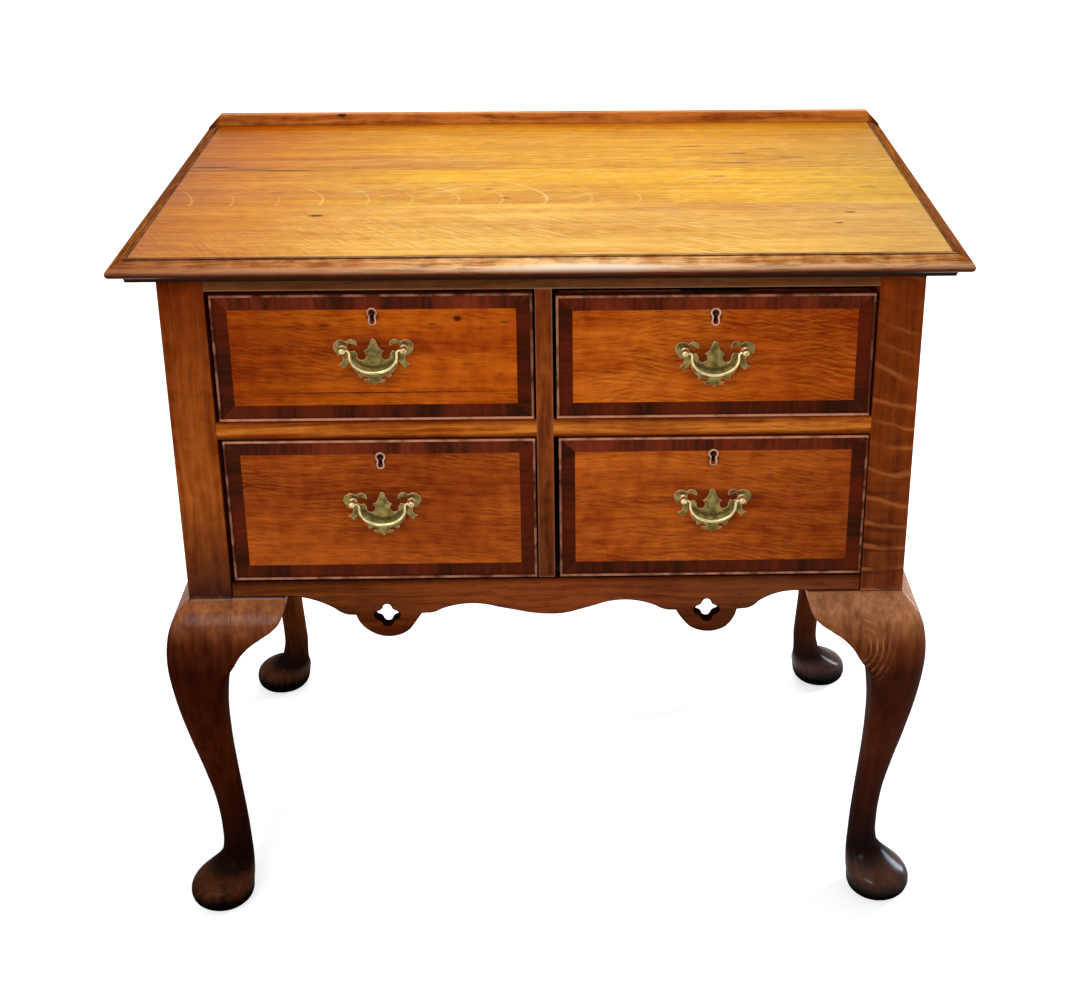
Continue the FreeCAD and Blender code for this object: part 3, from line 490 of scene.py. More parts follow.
def banded(add, place, grain, colour, rough_edge):
    """Finish: bands of curl across the right post, pale lines about 26 mm apart that bow down at
    its middle, wander, fade in and out, and fall to the right in its upper half."""
    x, z = (add("SeparateXYZ", place, out=i) for i in (0, 2))
    off = add("Math SUBTRACT", x, 0.338)
    bow = add("Math MULTIPLY", off, off)
    bent = add("Math MULTIPLY_ADD", bow, -4.0, z)
    tilt = add("MapRange", z, 0.5, 0.62, 0.0, 0.4)
    bent = add("Math MULTIPLY_ADD", tilt, off, bent)
    sway = add("TexNoise", place, Scale=14.0, Detail=2.0)
    bent = add("Math MULTIPLY_ADD", sway, 0.04, bent)
    wave = add("Math MULTIPLY", bent, 2 * math.pi / (26 * MM))
    wave = add("Math SINE", wave)
    patch = add("MapRange", add("TexNoise", place, Scale=24.0), 0.38, 0.6, 0.1, 1.0)
    for low, high, strength, tint in ((0.72, 1.0, 0.55, "CC7438"), (0.3, -0.6, 0.12, "42160A")):
        shown = add("MapRange", wave, low, high, 0.0, strength)
        colour = laid(add, colour, tint, shown, patch)
    return colour


def leg_oak(name, side, end, offset, colours, *layers):
    """The legs' and brackets' oak, shaped with the spokeshave: its patina with painted light and
    shade, dirt and a painted shade in the crease below the case, painted shade on faces that
    look down, and facets under the wax."""
    return waxed_oak(name, "upright", offset, "A48C7C", "FFFFFF",
                     leg_patina_and_shading(side, end, *colours),
                     spotted((0, 0, knee_top / MM, 1000, 1000, 0.9, 0.85)), shaded_underside, *layers,
                     streak=0.5, marks=(90.0, 3.4), mottle=0.3, pore=0.2, roughness=0.27,
                     gloss=0.0, tooling=0.4, coat=burnished)


post_colours = {-1: ("4E2720", "D8722B", "923A0F"), 1: ("90461F", "9E4913", "9C400D")}
for end, end_name in ((-1, "front"), (1, "rear")):
    for side, side_name in ((-1, "left"), (1, "right")):
        name = "%s_%s" % (end_name, side_name)
        leg = solid("cabriole_" + name, leg_grid(side, end), "case", ["leg_" + name], smooth=50)
        curl = [above(knee_top, flecked(94, 60, 7.0, 0.7, "42160A", 220.0)),
                above(knee_top, banded), arched] if side > 0 and end < 0 else []
        dress(leg, leg_oak("waxed_leg_oak_" + name, side, end, (0.37 * side, 0.11 * end, 0.05),
                           post_colours[side], *curl))


# --------------------------------------------- knee brackets
# Eared blocks glued against the case beside each knee.  They carry the swell of the knee along
# under the apron and the sides and end in a small hooked ear, cut from the same oak.

bracket_reach, bracket_height = 52.5 * MM, 66.0 * MM
bracket_depth = 20.0 * MM
bracket_edge = 3.5 * MM


def bracket_grid():
    """Sections along a bracket as (run, outward, height).

    Each follows the knee's swell down to the ear's outline, a smooth curve through seven
    points, turns under with a quarter circle, and comes back flat.
    """
    run = np.linspace(0, 1, 44) ** 0.9
    outline = np.array([(0.0, -1.0), (0.11, -0.85), (0.24, -0.73), (0.56, -0.54), (0.78, -0.42),
                        (0.92, -0.29), (1.0, -0.12)])
    foot = flowing(run, outline[:, 0], outline[:, 1]) * bracket_height
    down = np.concatenate([np.linspace(0, 0.8, 22), np.linspace(0.8, 1, 9)[1:]])[None, :]
    drop = down * foot[:, None]
    share = 1 + drop / knee_top
    swell = flowing(share.ravel(), leg_stations[:, 0], leg_stations[:, 1]).reshape(drop.shape) * MM
    near = np.clip(1 - (drop - foot[:, None]) / bracket_edge, 0, 1)
    swell = swell - bracket_edge * (1 - np.sqrt(1 - near**2))
    # the swell falls to 0.6 of itself at the ear's tip
    ease = np.sqrt(np.clip((1 - run) / 0.12, 0, 1))[:, None]
    swell = np.maximum(swell * (0.6 + 0.4 * ease), 0)
    across = np.broadcast_to(run[:, None] * bracket_reach, drop.shape)
    front = np.stack([across, swell, knee_top + drop], -1)
    back, top = (np.stack([across[:, 0], np.full_like(foot, -bracket_depth), height], -1)[:, None]
                 for height in (knee_top + foot, np.full_like(foot, knee_top)))
    return np.concatenate([front, back, top], axis=1)


bracket = bracket_grid()
post_inner = -case_left - post
brackets = []
for side, name in ((-1, "left"), (1, "right")):
    grid = np.stack([side * (post_inner - bracket[..., 0]), case_front - bracket[..., 1],
                     bracket[..., 2]], -1)
    brackets.append((side, solid("knee_bracket_front_" + name, grid, "case",
                                 ["knee_brackets_front"])))
    for end, end_name in ((-1, "fore"), (1, "aft")):
        start = case_front + post if end < 0 else case_back - post
        grid = np.stack([side * (-case_left + bracket[..., 1]), start - end * bracket[..., 0],
                         bracket[..., 2]], -1)
        brackets.append((side, solid("knee_bracket_%s_%s" % (end_name, name), grid, "case",
                                     ["knee_brackets_side"])))
for number, (side, piece) in enumerate(brackets):
    dress(piece, leg_oak("waxed_" + piece.name, side, -1, (0.2 * number, 0.4, 0.1),
                         ["96502A"] * 3))


# ------------------------------------------------------ case
# Frame of the case: side panels and back tongued into the posts, rails and stile tenoned
# between them, all oak.  The outside is waxed red-brown, the inside and back are left dry.

def dry_oak(name, face, offset):
    """Bare oak inside the case, sawn and never waxed: pale grey-brown, dull and dusty, with saw
    marks 6 mm apart across the grain."""
    material, add, place = blank_material(name)
    grain = add("Mapping", place, offset, GRAIN[face])
    if face == "side":
        # a box's back has its grain along X, and its sides along Y
        across = add("Mapping", place, offset, GRAIN["front"])
        square = add("Math GREATER_THAN", facing(add), 0.5)
        grain = add("Mix VECTOR", square, grain, across)
    streak = streaks(add, grain, 90.0, 4.0, detail=5.0)
    stain = streaks(add, grain, 120.0, 60.0, detail=3.0)
    tone = add("MapRange", streak, 0.3, 0.7)
    colour = add("Mix RGBA", tone, "6B4A2C", "A47E50")
    soiled = add("MapRange", stain, 0.45, 0.7, 0.0, 0.55)
    colour = add("Mix RGBA", soiled, colour, "4A3522")
    # a wave texture repeats every 314 mm at a scale of 1
    saw = add("TexWave", grain, Scale=314 / 6, Distortion=1.5, out=1, bands_direction="X")
    height = add("Math MULTIPLY_ADD", saw, 0.25, streak)
    dusty = add("MapRange", stain, 0.3, 0.7, 0.78, 0.9)
    return surfaced(material, add, 0.35, 0.3, height, Base_Color=colour, Roughness=dusty,
                    Specular_IOR_Level=0.2)


for side, name in ((-1, "left"), (1, "right")):
    node = "side_panel_" + name
    dress(nodes[node], waxed_oak("waxed_side_oak_" + name, "side", (0.3 * side, 0.2, 0.1),
                                 "7A3610", "B4652A", flecked(64, 30, 1.8, 0.4, "D6954E"),
                                 faded("Z", (0.381, "B09088"), (0.47, "FFFFFF"),
                                       (0.722, "E8DCD4"))))
dress(nodes["top_rail"], waxed_oak("waxed_rail_oak", "front", (0.1, 0.3, 0.0), "562814",
                                   "8B5530", rubbed_and_lit_edges(*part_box("top_rail"), 1.6, 0.3)))
dress(nodes["centre_stile"],
      waxed_oak("waxed_stile_oak", "upright", (0.5, 0.1, 0.2), "6A2A0C", "B0561F",
                faded("Z", (0.400, "9C9ACF"), (0.55, "E0E0F0"), (0.60, "FFFFFF"),
                      (0.66, "E0D4D8"), (0.70, "D8C8D0")),
                rubbed_and_lit_edges(*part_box("centre_stile"), 1.8, 0.6, "B06C50"), streak=0.9,
                marks=(35.0, 5.0), mottle=0.5))
divider_low, divider_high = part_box("drawer_dividers")
# the divider is darker along its top edge, a painted shadow under the cockbead above it, and along
# its lower edge
dress(nodes["drawer_dividers"],
      waxed_oak("waxed_divider_oak", "front", (0.9, 0.2, 0.1), "A0440E", "EE8A30",
                faded("Z", (divider_low.z, "684A3E"), (divider_low.z + 0.002, "A88474"),
                      (divider_low.z + 0.006, "FFFFFF"), (divider_high.z - 0.007, "FFFFFF"),
                      (divider_high.z - 0.001, "A87C68"), (divider_high.z, "6E5044"),
                      ragged=0.1), streak=1.0, marks=(90.0, 2.4)))

# The apron: a board half as thick as the rails, tenoned between the front posts.  Its edge was
# sawn by eye, so its halves differ a little, with a lobe in each, pierced by a quatrefoil.

case_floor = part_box("apron")[1].z
# edge in mm from the right post to the left, as steps: a single point ends a straight run, and
# a pair is an arc through the first
apron_steps = [
    [(250.0, 381.0)], [(226.5, 377.4), (211.0, 369.2)], [(204.5, 363.4), (197.0, 361.2)],
    [(189.8, 360.6)], [(186.2, 350.0), (178.6, 340.4)], [(160.0, 335.4), (141.4, 342.4)],
    [(134.0, 351.4), (128.6, 360.4)], [(120.6, 360.6)], [(114.6, 362.3), (108.5, 365.6)],
    [(81.0, 372.7), (48.5, 367.4)], [(30.4, 362.0)], [(15.0, 358.3), (0.4, 357.8)],
    [(-11.6, 358.7), (-26.0, 361.4)], [(-50.0, 366.6)], [(-78.0, 370.7), (-107.4, 364.2)],
    [(-113.4, 361.3), (-121.0, 360.6)], [(-125.6, 360.2)], [(-130.6, 352.6), (-138.0, 342.0)],
    [(-158.6, 333.9), (-179.6, 341.6)], [(-186.9, 349.2), (-191.0, 358.9)], [(-198.0, 359.4)],
    [(-204.4, 361.4), (-211.0, 366.2)], [(-224.0, 373.4), (-250.0, 381.0)],
]
lobes = ((-160.0, 359.2), (159.3, 360.9))
lobe_eye, lobe_out, lobe_waist = 4.5, 7.4, 5.9
apron_depth, apron_ease = 12.0 * MM, 1.5 * MM


def arc_points(centre, radius, first, last, count):
    """Points on a circle between two angles in degrees."""
    turn = np.radians(np.linspace(first, last, count))
    return np.stack([centre[0] + radius * np.cos(turn), centre[1] + radius * np.sin(turn)], -1)


def arc_through(a, b, c, count):
    """Points on the circle through three points, from a to c past b."""
    a, b, c = (np.asarray(p, float) for p in (a, b, c))
    d = 2 * (a[0] * (b[1] - c[1]) + b[0] * (c[1] - a[1]) + c[0] * (a[1] - b[1]))
    square = [p @ p for p in (a, b, c)]
    centre = np.array([
        square[0] * (b[1] - c[1]) + square[1] * (c[1] - a[1]) + square[2] * (a[1] - b[1]),
        square[0] * (c[0] - b[0]) + square[1] * (a[0] - c[0]) + square[2] * (b[0] - a[0])]) / d
    angles = np.unwrap([math.atan2(*(p - centre)[::-1]) for p in (a, b, c)])
    if (angles[1] - angles[0]) * (angles[2] - angles[1]) < 0:
        angles[2] += math.copysign(2 * math.pi, angles[1] - angles[0])
    return arc_points(centre, np.linalg.norm(a - centre), *np.degrees(angles[[0, 2]]), count)


def cut_line(here, steps, count):
    """Points along an edge cut in straight runs and arcs, in mm, from a starting point."""
    points = [np.array([here])]
    for step in steps:
        run = arc_through(here, *step, count)[1:] if len(step) == 2 else np.array(step)
        points.append(run)
        here = step[-1]
    return np.concatenate(points)


def shaded_sawn_edges(add, place, grain, colour, rough_edge):
    """Finish: the sawn and eased edges and the walls of the piercings, where a face turns from the
    front, painted near black as shade."""
    shown = add("MapRange", facing(add), 0.9995, 0.97, 0.0, 0.95)
    return add("Mix RGBA", shown, colour, "100603")


def quatrefoil(centre):
    """Four lobes of one radius about points out from the centre, each 150 degrees of a circle,
    joined by shallow arcs that bow towards the middle."""
    turn = np.radians((0, 90, 180, 270))[:, None, None]
    lobe = arc_points((lobe_out, 0.0), lobe_eye, -75, 75, 14)
    join = arc_through(lobe[-1], (lobe_waist, lobe_waist), lobe[0][::-1] * (-1, 1), 6)
    edge = np.concatenate([lobe, join[1:-1]])[None]
    spun = np.concatenate([edge[..., :1] * np.cos(turn) - edge[..., 1:] * np.sin(turn),
                           edge[..., :1] * np.sin(turn) + edge[..., 1:] * np.cos(turn)], -1)
    return spun.reshape(-1, 2) + centre


def cut_plate(name, edge, centre, face, depth, bevel, body, replaced, holes=()):
    """A flat plate cut to an edge, with pierced holes and an eased or filed edge in front.

    Made as a filled flat curve with thickness and bevel, then turned to stand on the front.
    """
    curve = bpy.data.curves.new(name, "CURVE")
    curve.dimensions = "2D"
    curve.fill_mode = "BOTH"
    curve.extrude = depth / 2 - bevel
    curve.bevel_depth = bevel
    curve.bevel_resolution = 3
    curve.offset = -bevel
    for loop in (edge, *holes):
        spline = curve.splines.new("POLY")
        spline.points.add(len(loop) - 1)
        spline.points.foreach_set("co", np.column_stack([loop, np.zeros(len(loop)),
                                                         np.ones(len(loop))]).ravel())
        spline.use_cyclic_u = True
    flat = bpy.data.objects.new(name, curve)
    mesh = bpy.data.meshes.new_from_object(flat)
    bpy.data.objects.remove(flat)
    points = np.empty(len(mesh.vertices) * 3, np.float32)
    mesh.vertices.foreach_get("co", points)
    points = points.reshape(-1, 3)
    placed = np.stack([centre[0] + points[:, 0], face - depth / 2 - points[:, 2],
                       centre[1] + points[:, 1]], -1)
    mesh.vertices.foreach_set("co", placed.astype(np.float32).ravel())
    return finished(name, mesh, body, replaced, smooth=50)


reach, low, high = (v / MM for v in (post_inner, knee_top, case_floor))
apron_line = np.concatenate([cut_line((reach, low), apron_steps, 14),
                             [(-reach, low), (-reach, high), (reach, high)]])[::-1] * MM
apron = cut_plate("sawn_apron", apron_line, (0.0, 0.0), case_front + apron_depth, apron_depth,
                  apron_ease, "case", ["apron"],
                  holes=[quatrefoil(centre)[::-1] * MM for centre in lobes])
dress(apron, waxed_oak("waxed_apron_oak", "front", (0.0, 0.6, 0.3), "74381D", "B05C29",
                       faded("X", (-0.31, "C8C4BE"), (-0.14, "D4C8C4"), (-0.04, "E4D4DC"),
                             (0.06, "E4D4DC"), (0.20, "CCCCE8")),
                       faded("Z", (0.336, "A88E86"), (0.37, "FFFFFF"), (0.392, "FFFFFF"),
                             (0.3995, "8A6A5E")), shaded_sawn_edges,
                       streak=0.8, cloud=0.5, marks=(90.0, 2.6), gloss=0.0))
for node, face in (("back_panel", "upright"), ("centre_partition", "side"),
                   ("drawer_runners", "flat_side"), ("drawer_kickers", "flat_side"),
                   ("drawer_stops", "flat")):
    dress(nodes[node], dry_oak("dry_oak_" + node, face, (0.1, 0.2, 0.3)))


# ------------------------------------------------------- top
# Three quarter-sawn oak boards glued edge to edge, honey gold where sun and wax have worked on
# them and paler in the middle under a painted pool of light, redder towards the edges.  The glue
# lines have opened and darkened, and the rays show as pale hooks in the middle board and as fine
# slanting lines in the front one.

@finish
def hooked_rays(add, place, grain, colour, rough_edge, foot, span, hook, spacing, strength):
    """Finish: rays as hooks, 2 mm wide.  A ray crosses the board and bends back along it: x
    plus hook times the square of the way up from its foot is the same all along it.  Each
    whole step of that measure holds one ray, of a strength of its own."""
    x, y = (add("SeparateXYZ", place, out=i) for i in range(2))
    up = add("MapRange", y, foot, foot + 1.8 * span, -0.2, 1.6)
    bent = add("Math MULTIPLY", up, up)
    bent = add("Math MULTIPLY_ADD", bent, hook, x)
    sway = add("TexNoise", place, Scale=6.0, Detail=1.0)
    bent = add("Math MULTIPLY_ADD", sway, 0.8 * spacing, bent)
    steps = add("Math DIVIDE", bent, spacing)
    which = add("Math FLOOR", steps)
    own = add("TexWhiteNoise", W=which, noise_dimensions="1D")
    off = add("Math SUBTRACT", add("Math SUBTRACT", steps, which), 0.5)
    off = add("Math ABSOLUTE", off)
    line = MM / spacing
    shown = add("MapRange", off, 0.2 * line, 1.8 * line, strength, 0.0)
    own = add("MapRange", own, 0.0, 0.8, 0.2, 1.0)
    patch = add("MapRange", streaks(add, grain, 60.0, 40.0), 0.38, 0.56)
    left = add("MapRange", x, -0.02, 0.14, 1.0, 0.12)
    near = add("MapRange", up, 0.7, 1.1, 1.0, 0.0)
    return laid(add, colour, "FFE2A0", shown, own, patch, left, near)


@finish
def slanting_rays(add, place, grain, colour, rough_edge, reach, strength):
    """Finish: rays as fine slanting lines 35 mm long, steep at the left and flatter to the
    right.

    They follow y less a falling exponential of x; noise is drawn out along them, light where
    it is high and dark where it is low.
    """
    x, y = (add("SeparateXYZ", place, out=i) for i in range(2))
    fall = add("Math MULTIPLY", x, -1 / reach)
    fall = add("Math EXPONENT", fall)
    sweep = add("Math MULTIPLY_ADD", fall, -0.84 * reach, y)
    where = add("CombineXYZ", fall, sweep)
    where = add("Mapping", where, Scale=(0.84 * reach / 0.03, 1 / 0.0042, 1.0))
    wave = add("TexNoise", where, Scale=1.0, Detail=2.0)
    patch = add("MapRange", streaks(add, grain, 70.0, 40.0), 0.4, 0.58, 0.15, 1.0)
    front = add("MapRange", y, -0.1, -0.17, 0.4, 1.0)
    right = add("MapRange", x, 0.0, 0.3, 1.0, 0.4)
    for share in (front, right):
        patch = add("Math MULTIPLY", patch, share)
    for low, high, share, tint in ((0.46, 0.34, 0.6 * strength, "A8641C"),
                                   (0.55, 0.66, strength, "FFE09A")):
        shown = add("MapRange", wave, low, high, 0.0, share)
        colour = laid(add, colour, tint, shown, patch)
    return colour


top_low, top_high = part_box("top_board_front")
joints = [corner.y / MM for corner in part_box("top_board_middle")]
deck = 744  # mm from the floor to the top


def on_top(*spots, tint="240A02"):
    """Finish: spots on the top, each (x, y, half sizes in x, y and z, strength) in mm."""
    return spotted(*((x, y, deck, *rest) for x, y, *rest in spots), tint=tint)


# paler in the middle and darker towards the ends, bluish at the right: patina, and a painted pool
# of light from the lamp overhead
ends = faded("X", (-0.373, "C99C44"), (-0.30, "E4C070"), (-0.12, "FFFFFF"), (0.20, "FFFFFF"),
             (0.373, "E8EAFF"))
# darker towards the gallery: dirt, and painted shade in the corner at its foot
back_dirt_and_shade = faded("Y", (0.10, "FFFFFF"), (0.20, "F4E8DA"), (0.231, "D8B48C"), (0.2375, "6E3A18"),
                  ragged=0.03)
# wax and dust have filled the lines between the boards and the moulding round them
filled = on_top(*((side * top_high.x / MM, 0, 1.3, 1000, 3, 0.85) for side in (-1, 1)),
                tint="401A08")
boards = {
    "front": ("CE8826", "F6BE54", (0.0, 0.0, 0.0), [
        slanting_rays(0.42, 0.45), flecked(-24, 34, 1.3, 0.25, "FFE2A0", 60.0), ends, filled,
        on_top((-219, -116, 8, 3.5, 2, 0.95), (282, -150, 5, 2.4, 2, 0.8),
               (298, -116, 6, 2.4, 2, 0.75), (-190, joints[0], 190, 0.9, 3, 0.45),
               (385, -95, 6, 4, 3, 0.7)),
        on_top((0, top_low.y / MM, 1000, 1.3, 3, 0.8), tint="401A08")]),
    "middle": ("CC8412", "F6BC32", (2.1, 0.4, 0.0), [
        hooked_rays(joints[0] * MM, 75 * MM, 66 * MM, 44 * MM, 0.85),
        flecked(30, 30, 1.3, 0.3, "FFE2A0", 60.0), ends, filled,
        on_top((-330, joints[1], 150, 2.0, 3, 0.95), (-90, joints[1], 90, 1.1, 3, 0.6),
               (-55, -30, 5, 2.4, 2, 0.6), (-38, -60, 5, 3, 2, 0.5), (-268, 43, 26, 2.6, 3, 0.9)),
        on_top((180, 12, 9, 2.2, 2, 0.6), (330, -30, 12, 2, 2, 0.6), tint="5A300A")]),
    "back": ("C67A0C", "EEB02C", (4.7, 0.9, 0.0), [
        flecked(20, 34, 1.6, 0.2, "FFE2A0"), ends, back_dirt_and_shade, filled,
        shaded_ripples(4, 34, 3.0, 0.40, 0.10, 160.0),
        on_top((-350, 57, 26, 2.4, 3, 0.9), (-308, 50, 28, 2.2, 3, 0.9),
               (-330, joints[1], 150, 1.4, 3, 0.9)),
        on_top((210, 100, 12, 2.6, 2, 0.85), (262, 84, 18, 2.4, 2, 0.85),
               (200, 62, 30, 2, 2, 0.7), (160, 130, 16, 2, 2, 0.7), (243, 118, 14, 2, 2, 0.7),
               (-60, 150, 9, 2.4, 2, 0.5), tint="5A300A")]),
}
for name, (dark, light, offset, layers) in boards.items():
    dress(nodes["top_board_" + name],
          waxed_oak("honey_top_oak_" + name, "flat", offset, dark, light, *layers, streak=0.5,
                    pore=0.25, cloud=0.5, roughness=0.36, gloss=0.05, relief=0.1))

dress(nodes["gallery_rail"],
      waxed_oak("waxed_gallery_oak", "front", (0.2, 0.8, 0.1), "8E3E0C", "DC883A",
                # a pale edge all round: wear, and along its top a painted highlight
                rubbed_and_lit_edges(*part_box("gallery_rail"), 1.8, 0.7, "E0A468"),
                spotted((-233, 235, 755, 5, 3, 3, 0.85)),
                # its raked ends darker: painted shade
                faded("X", (-0.388, "7A5A48"), (-0.377, "8A6A58"), (-0.374, "FFFFFF"),
                      (0.374, "FFFFFF"), (0.377, "8A6A58"), (0.388, "7A5A48"), ragged=0.004),
                streak=0.9, mottle=0.4))

# Edge moulding: three lengths of planed oak, mitred at the front corners: a fillet, an ovolo,
# a round nose and a cove below.  The nose is rubbed pale and carries a painted highlight, paler
# still across the middle of the front; the cove is painted dark as shade, and dirt lies along the
# fine groove.

nose_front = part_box("top_moulding_front")[0].y
nose_side, top_back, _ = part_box("top_moulding_right")[1]

# section in mm: distance in from the nose, height below the top
ovolo = arc_through((14.5, -1.2), (9.75, -2.4), (5.0, -5.2), 12)
nose = arc_points((5.0, -10.2), 5.0, 90, 270, 20)
cove = arc_through((7.0, -15.2), (11.8, -17.2), (13.8, -22.0), 10)
section = np.concatenate([[(17.0, -22.0), (17.0, -1.3), (16.2, -0.15), (16.0, 0.0), (14.7, 0.0),
                           (14.5, -0.15)], ovolo, nose, cove]) * MM
stations = np.linspace(0, 1, 160)[:, None]
inward, height = section[:, 0][None, :], top_high.z + section[:, 1][None, :]
level = np.broadcast_to(height, (len(stations), len(section)))
front_grid = np.stack([(2 * stations - 1) * (nose_side - inward),
                       np.broadcast_to(nose_front + inward, level.shape), level], -1)
side_grid = np.stack([np.broadcast_to(nose_side - inward, level.shape),
                      nose_front + inward + stations * (top_back - nose_front - inward), level],
                     -1)
front_mm, side_mm = nose_front / MM, nose_side / MM
for name, side, grid in (("front", 0, front_grid), ("right", 1, side_grid),
                         ("left", -1, side_grid * (-1, 1, 1))):
    moulding = solid("edge_moulding_" + name, grid, "case", ["top_moulding_" + name], smooth=35)
    # the nose rubbed pale, with a painted highlight, and the dirty lines at the fillet's back and
    # foot
    if side:
        face, dark, light, vivid, gloss = "flat_side", "6A381C", "96582E", 0.5, 0.0
        nose_rub_and_highlight = (side * side_mm, 0, 737, 2.4, 1000, 3.0, 0.45 if side > 0 else 0.35)
        lines = ((side * (side_mm - 17.4), 0, deck, 0.9, 1000, 2.2, 0.85),
                 (side * (side_mm - 14.2), 0, deck - 0.6, 0.9, 1000, 1.5, 0.7))
        painted_sheen_and_bruises = []
    else:
        face, dark, light, vivid, gloss = "front", "B06C2C", "F2BC76", 0.9, 0.10
        nose_rub_and_highlight = (0, front_mm, 736.5, 1000, 3.8, 4.4, 0.85)
        lines = ((0, front_mm + 17.2, deck, 1000, 0.9, 2.2, 0.85),
                 (0, front_mm + 14.2, deck - 0.6, 1000, 0.9, 1.5, 0.7))
        # a painted highlight across the middle of the nose, the front painted paler in its middle,
        # and bruises
        painted_sheen_and_bruises = [spotted((35, front_mm + 2, 736.0, 85, 9, 5, 0.55), tint="FFF2DC"),
                 spotted((-92, -250, 736, 34, 3, 1.2, 0.8), (352, -250, 734, 22, 4, 1.2, 0.7),
                         (-104, -253, 741, 9, 3, 3, 0.6), (-92, -264, 737, 9, 3, 3, 0.6)),
                 faded("X", (-0.39, "A88474"), (-0.2, "D8BCAC"), (-0.04, "FFFFFF"),
                       (0.1, "FFFFFF"), (0.39, "DCCCC0"))]
    # darker down the cove below the nose: painted shade on faces that turn down
    root = faded("Z", (0.722, "2A1008"), (0.7290, "341408"), (0.7322, "8A4A2C"),
                 (0.7362, "FFFFFF"), (0.744, "FFFFFF"), ragged=0.06)
    dress(moulding, waxed_oak("waxed_moulding_oak_" + name, face, (0.3, 0.5, 0.7), dark, light,
                              spotted(nose_rub_and_highlight, tint="FFD0A4"), shaded_ripples(0, 24, 1.6, 0.45, 0.3, 60.0),
                              spotted(*lines), *painted_sheen_and_bruises, root, streak=vivid, marks=(60.0, 1.8),
                              mottle=vivid, cloud=0.5, roughness=0.30, gloss=gloss))


# --------------------------------------------------- drawers
# Fronts of plain oak with a 13 mm band of mahogany let in round the edge, its grain running
# across the band, and a thin half-round cockbead outside it, pale where it is rubbed and where
# a highlight is painted on it.

drawer_names = ("upper_left", "upper_right", "lower_left", "lower_right")
front_face = -216.2  # in mm


def on_front(*spots, tint="2B0F05"):
    """Finish: spots on a drawer's front, each (x, z, half sizes in x and z, strength) in mm."""
    return spotted(*((x, front_face, z, size_x, 3, size_z, strength)
                     for x, z, size_x, size_z, strength in spots), tint=tint)


field_oak = {
    "upper_left": ("A43708", "EE7516", (0.0, 0.0, 1.3), 0.4, [
        faded("X", (-0.30, "C09C90"), (-0.24, "D3C8C3"), (-0.12, "FFFFFF"), (-0.02, "FFFFFF")),
        shaded_ripples(-12, 11, 1.8, 0.15, 0.12, 50.0),
        on_front((-80, 675, 4, 3, 0.9), (-104, 669.5, 4, 1.2, 0.6), (-36, 671, 5, 1.4, 0.6),
                 (-203, 669.5, 6, 1.6, 0.6), (-159, 601, 142, 0.7, 0.85))]),
    "upper_right": ("AC3C05", "F07A1E", (3.0, 0.3, 2.2), 0.5, [
        faded("X", (0.10, "FFFFFF"), (0.25, "E0C8C0"), (0.30, "D8BCB4")),
        shaded_ripples(-10, 15, 2.0, 0.42, 0.32, 55.0), shaded_ripples(10, 9, 1.8, 0.25, 0.15, 40.0)]),
    "lower_left": ("872F0A", "CC601C", (5.2, 0.1, 0.4), 0.45, [
        shaded_ripples(-6, 11, 1.8, 0.25, 0.18, 50.0)]),
    "lower_right": ("9F3B0E", "EC7724", (7.7, 0.6, 0.9), 0.45, [
        faded("X", (0.08, "FFFFFF"), (0.20, "E4DCE0"), (0.30, "D4CCCC")),
        shaded_ripples(-8, 11, 1.9, 0.22, 0.18, 60.0)]),
}


def crossband(name, low, high, offset):
    """Mahogany veneer, sawn, glued and polished: its grain runs across each strip, so it turns
    at the mitres.  The eye sees soft dark and red blocks 25 mm long with a fine grain."""
    material, add, place = blank_material(name)
    away = add("VectorMath SUBTRACT", place, tuple((low + high) / 2))
    away = add("VectorMath ABSOLUTE", away)
    x, z = (add("SeparateXYZ", away, out=i) for i in (0, 2))
    half = (high - low) / 2
    past = add("Math SUBTRACT", x, half.x - half.z)
    level = add("Math GREATER_THAN", z, past)
    here = add("Mapping", place, offset)
    # the level strips' grain stands up, and the upright strips' grain lies level
    lying, standing = (add("Mapping", here, Scale=draw)
                       for draw in ((0.15, 1.0, 1.0), (1.0, 1.0, 0.15)))
    across = add("Mix VECTOR", level, lying, standing)
    streak = add("TexNoise", across, Scale=240.0, Detail=3.0)
    block = add("TexNoise", across, Scale=22.0, Detail=2.0)
    tone = add("Math MULTIPLY_ADD", block, 2.2, streak)
    tone = add("MapRange", tone, 1.25, 2.0)
    colour = add("Mix RGBA", tone, "38100A", "86321A")
    # the upper strip is the palest and the upright ones are the darkest
    over = add("Math GREATER_THAN", add("SeparateXYZ", place, out="Z"), (low.z + high.z) / 2)
    shade = add("Mix RGBA", level, "C0A8A0", add("Mix RGBA", over, "C8C0BC", "FFFFFF"))
    colour = add("Mix RGBA MULTIPLY", 1.0, colour, shade)
    height = add("Math MULTIPLY_ADD", streak, 0.4, tone)
    rough = add("MapRange", block, 0.3, 0.7, 0.28, 0.42)
    return surfaced(material, add, 0.08, 0.3, height, Base_Color=colour, Roughness=rough,
                    Specular_IOR_Level=0.1, Specular_Tint=AMBER)


